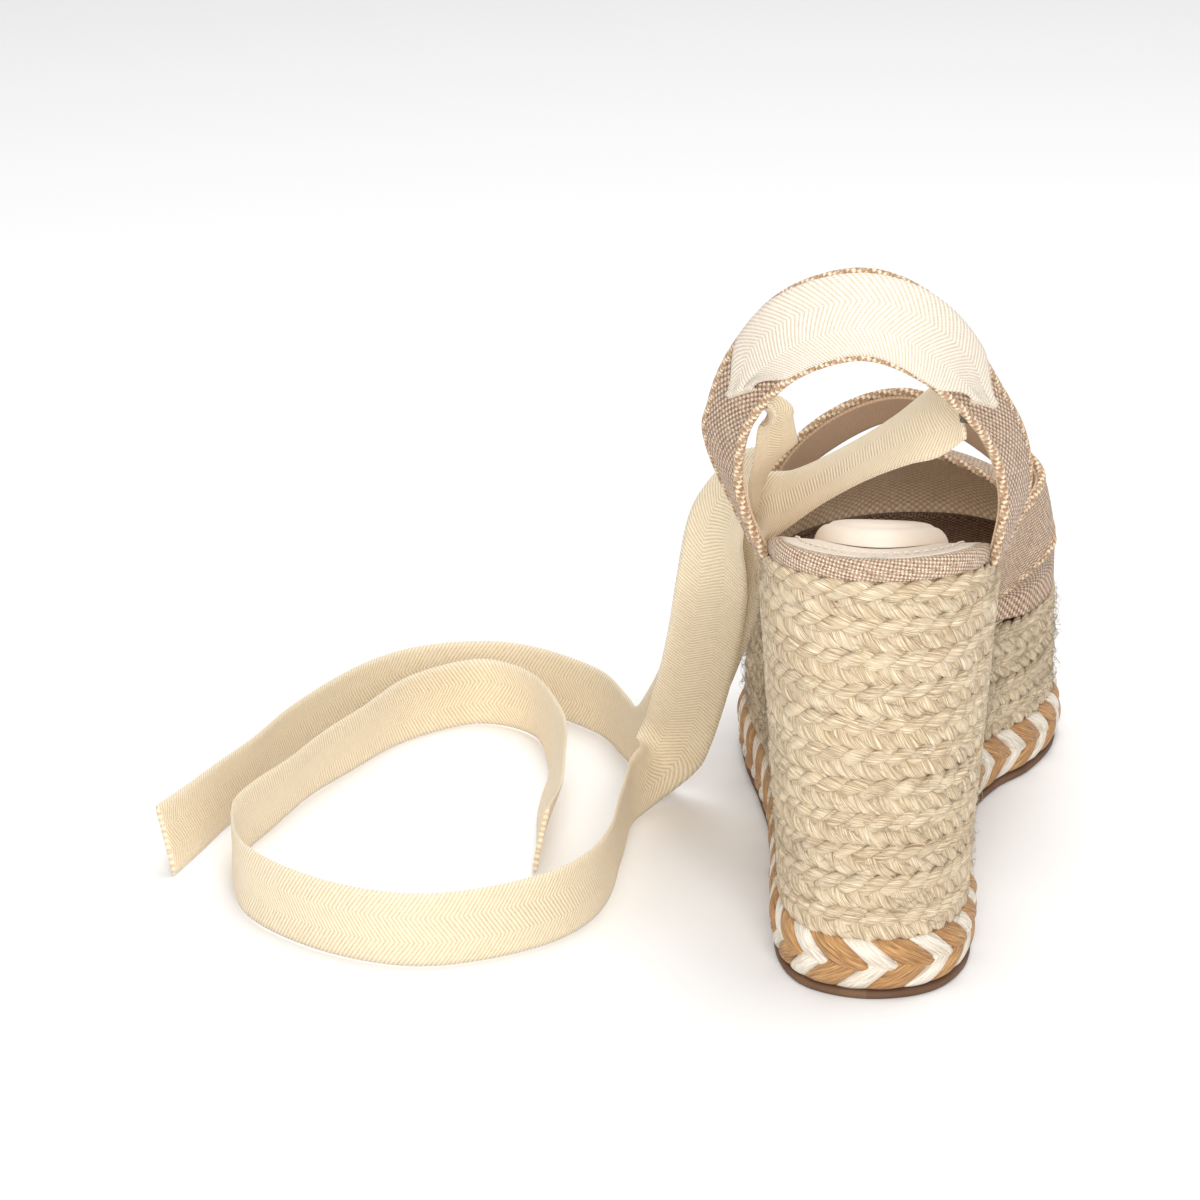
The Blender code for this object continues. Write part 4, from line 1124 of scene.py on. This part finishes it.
def heel_strap():
    """The heel strap's cloth and lining, its bindings and the facings of its slots."""
    holes = [slot_block(slot, SLOT_LENGTH, SLOT_WIDTH, CUT_DEPTHS)
             for slot in (SLOT_LATERAL, SLOT_MEDIAL)]
    add_piece("strap_heel", [strap_layer((0.0, STRAP_CLOTH))], ["linen"],
              ["heel_strap_outer", "heel_strap_end_lateral", "heel_strap_end_medial"],
              bend=True, holes=holes)
    add_piece("strap_inside", [strap_layer(LINING)], ["lining"], ["heel_strap_lining"],
              bend=True, holes=holes)
    share = np.linspace(0.0, 1.0, STRAP_STEPS)
    for name, width_share, beyond in (("heel_strap_lower_binding", STRAP_EDGE, -1.0),
                                      ("heel_strap_top_binding", 1 - STRAP_EDGE, 1.0)):
        normal = strap_normal(share, width_share)
        edge = strap_point(share, width_share)
        side = unit(np.cross(normal, np.gradient(edge, axis=0))) * beyond
        line = edge + normal * STRAP_CLOTH / 2 + side * 0.7
        add_piece(name.replace("_binding", "_bead"), [bead(line, normal, STRAP_BEAD)], ["bead"],
                  [name], bend=True)
    for side, slot in (("lateral", SLOT_LATERAL), ("medial", SLOT_MEDIAL)):
        width, length, thick = FACING
        plate = slot_block(slot, length, width, (-FACING_DEPTH - thick, -FACING_DEPTH))
        slit = slot_block(slot, *FACING_SLIT, CUT_DEPTHS)
        # The facing's dark look is painted shade in the slit.
        add_piece(f"facing_{side}", [plate], ["facing"], [f"slot_facing_{side}"],
                  "heel_strap", holes=[slit])


# ---- ankle tape ----

def tape_shell(flat, out, thick=TAPE_THICK):
    """A tape with soft edges round a grid of points; u runs along it and v across it."""
    v = np.linspace(-0.5, 0.5, flat.shape[1])
    thin = np.sqrt(np.clip(1 - (2 * v) ** 8, 0.02, 1))
    half = np.broadcast_to(thick, len(flat))[:, None] / 2 * thin[None, :]
    u = lengths(flat[:, flat.shape[1] // 2])
    out = out * half[..., None]
    return flip(shell_part(flat + out, flat - out, uv_grid(u, v * TAPE_WIDTH)))


def tape_part(centres, across, width, thick, columns=12):
    """A tape along the centres, slightly cupped."""
    ahead = unit(np.gradient(centres, axis=0))
    across = unit(across - ahead * np.sum(across * ahead, 1)[:, None])
    out = np.cross(ahead, across)[:, None]
    v = np.linspace(-0.5, 0.5, columns + 1)
    wave = TAPE_CUP * (v * v * 4 - 0.33)[None, :] * np.sin(lengths(centres) / 23.0)[:, None]
    flat = centres[:, None] + out * wave[..., None]
    flat = flat + across[:, None] * (v[None, :] * width[:, None])[..., None]
    return tape_shell(flat, out, thick)


def back_half(slot, middle, columns, steps=70):
    """Half of the tape outside the strap, from its middle into a slot."""
    v = np.linspace(-0.5, 0.5, columns + 1)
    share, level, _ = slot
    _, out, direction = slot_frame(slot)
    d = 0.01
    run = (strap_point(share + d, level) - strap_point(share - d, level)) / (2 * d)
    rise = (strap_point(share, level + d) - strap_point(share, level - d)) / (2 * d)
    arriving = np.cross(direction, out)
    arriving = arriving * np.sign(arriving @ run * (middle - share))
    place = direction[None, :] * (v * TAPE_END + TAPE_END_SHIFT)[:, None] + arriving * TAPE_SHORT
    place = np.linalg.lstsq(np.stack([run, rise], 1), place.T, rcond=None)[0]
    end_share, end_level = share + place[0], level + place[1]
    t = np.linspace(0, 1, steps)[:, None]
    shares = middle * (1 - t) + end_share[None, :] * t
    near = 1 - smoothstep((1 - t) * abs(share - middle) * STRAP_RUN, 0.0, TAPE_GATHER)
    wide = np.linalg.norm(strap_point(shares, 1.0) - strap_point(shares, 0.0), axis=-1)
    levels = (0.5 + v[None, :] * TAPE_WIDTH / wide) * (1 - near) + end_level * near
    pucker = TAPE_PUCKER * near * np.cos(v * 9.0)[None, :] ** 2
    lift = STRAP_CLOTH + TAPE_CLEAR + TAPE_THICK / 2 + pucker
    flat = strap_point(shares, levels) + strap_normal(shares, levels) * lift[..., None]
    ahead = unit(flat[-1] - flat[-3])
    ahead = unit(ahead - out * (ahead @ out)[:, None])
    turn = np.linspace(0.15, 1, 7)[:, None, None] * math.pi / 2
    lip = flat[-1] - out * TAPE_BEND + TAPE_BEND * (out * np.cos(turn) + ahead * np.sin(turn))
    drop = lip[-1] - out * np.linspace(0.6, 3.6, 5)[:, None, None]
    return np.concatenate([flat, lip, drop])


def back_span(columns=14):
    """The tape outside the heel strap; its ends turn in through the slots."""
    middle = (SLOT_LATERAL[0] + SLOT_MEDIAL[0]) / 2
    first = back_half(SLOT_LATERAL, middle, columns)
    second = back_half(SLOT_MEDIAL, middle, columns)
    # in both halves the columns run from the strap's lower edge upward
    flat = np.concatenate([first[::-1], second[1:]])
    ahead = np.gradient(flat, axis=0)
    out = unit(np.cross(ahead, np.gradient(flat, axis=1)))
    piece = add_piece("back_tape", [tape_shell(flat, out)], ["tape"], ["tape_back_span"],
                      "heel_strap")


def tail(name, route, node, slot, sag, start_width, spread):
    """A loose end of the tape, from its slot to the floor.

    It starts at start_width of its full width, which it reaches after spread.
    """
    place, out, width = slot_frame(slot)
    first, second = np.array(route[0][0]), np.array(route[1][0])
    behind = first - unit(second - first) * TAIL_LEAD
    inside = [(tuple(behind), route[0][1])]
    if abs(width @ np.array(route[0][1])) > TAIL_TURN:
        width = width * np.sign(width @ np.array(route[0][1]))
        inside = [(tuple(place - out * TAIL_DEPTH), tuple(width))] + inside
    data = curve([(*place, *width) for place, width in inside + route], 420)
    centres, across = data[:, :3], unit(data[:, 3:])
    along = lengths(centres)
    lying = smoothstep(along, *TAPE_LYING)
    ripple = np.sin(along / 17.0 + sag) * 0.6 + np.sin(along / 7.3 + 2 * sag) * 0.25
    centres = centres + np.cross(unit(np.gradient(centres, axis=0)), across) * (
        ripple * lying)[:, None]
    width = TAPE_WIDTH * (start_width + (1 - start_width) * smoothstep(along, 0, spread))
    hem = smoothstep(along, along[-1] - HEM - 0.5, along[-1] - HEM)
    parts = [tape_part(centres, across, width, TAPE_THICK * (1 + 0.4 * hem))]
    # The loose end takes the tape painted with warm bounce light.
    piece = add_piece(name, parts, ["tape_painted_bounce"], [node], bend=True)


# ---- stage ----

CAMERA_PLACE = (0.0494, -1.2296, 0.4689)
CAMERA_AIM = (-0.0745, -0.04, 0.0735)
CAMERA_LENS = 146.0
CAMERA_SENSOR = 36.0
FLOOR_PAINT = (0.93, 0.93, 0.93, 1)
SKY_POWER = 0.55
LIGHT_AIM = (-0.05, 0, 0.06)
# Each soft light's name, place, size in metres and power in watts.
LIGHTS = (("key", (0.22, -1.5, 0.66), 0.7, 17.5), ("fill", (-1.2, -0.7, 0.8), 1.4, 4.0),
          ("top", (0.15, 0.3, 1.6), 1.0, 14.0))


def aim(thing, place, target):
    """Put a lamp or camera in the scene, pointed at the target."""
    thing.location = place
    thing.rotation_euler = (Vector(target) - Vector(place)).to_track_quat("-Z", "Y").to_euler()
    bpy.context.scene.collection.objects.link(thing)


def stage():
    """The floor, the light and the camera."""
    scene = bpy.context.scene
    bpy.ops.mesh.primitive_plane_add(size=12, location=(0, 0, 0))
    floor = bpy.context.object
    floor.name = "floor"
    paint = bpy.data.materials.new("floor")
    paint.use_nodes = True
    shader = paint.node_tree.nodes["Principled BSDF"]
    shader.inputs["Base Color"].default_value = FLOOR_PAINT
    shader.inputs["Roughness"].default_value = 0.9
    floor.data.materials.append(paint)
    world = bpy.data.worlds.new("studio")
    world.use_nodes = True
    sky = world.node_tree.nodes["Background"]
    sky.inputs[0].default_value = (1, 1, 1, 1)
    sky.inputs[1].default_value = SKY_POWER
    scene.world = world
    scene.view_settings.view_transform = "Standard"
    for name, place, size, power in LIGHTS:
        light = bpy.data.lights.new(name, "AREA")
        light.size = size
        light.energy = power
        lamp = bpy.data.objects.new(name, light)
        aim(lamp, place, LIGHT_AIM)
    view = bpy.data.cameras.new("view")
    view.lens = CAMERA_LENS
    view.sensor_width = CAMERA_SENSOR
    camera = bpy.data.objects.new("view", view)
    aim(camera, CAMERA_PLACE, CAMERA_AIM)
    scene.camera = camera


# ---- the sandal ----

for node in ("wedge_core", "insole_board", "insole_foam"):
    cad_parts[node].data.materials.clear()
    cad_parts[node].data.materials.append(LOOKS["core"])

for jute_row in range(ROWS):
    plait_row(jute_row)
jute_fuzz()
trim_braid()
outsole()
rim_wrap()
footbed()
heel_pad()
toe_vamp()
instep_strap()
heel_strap()
back_span()
tail("tail_medial", TAIL_MEDIAL, "tape_tail_medial", SLOT_MEDIAL, 0.0, 0.7, 14)
tail("tail_lateral", TAIL_LATERAL, "tape_tail_lateral", SLOT_LATERAL, 1.3, 0.4, 55)
stage()
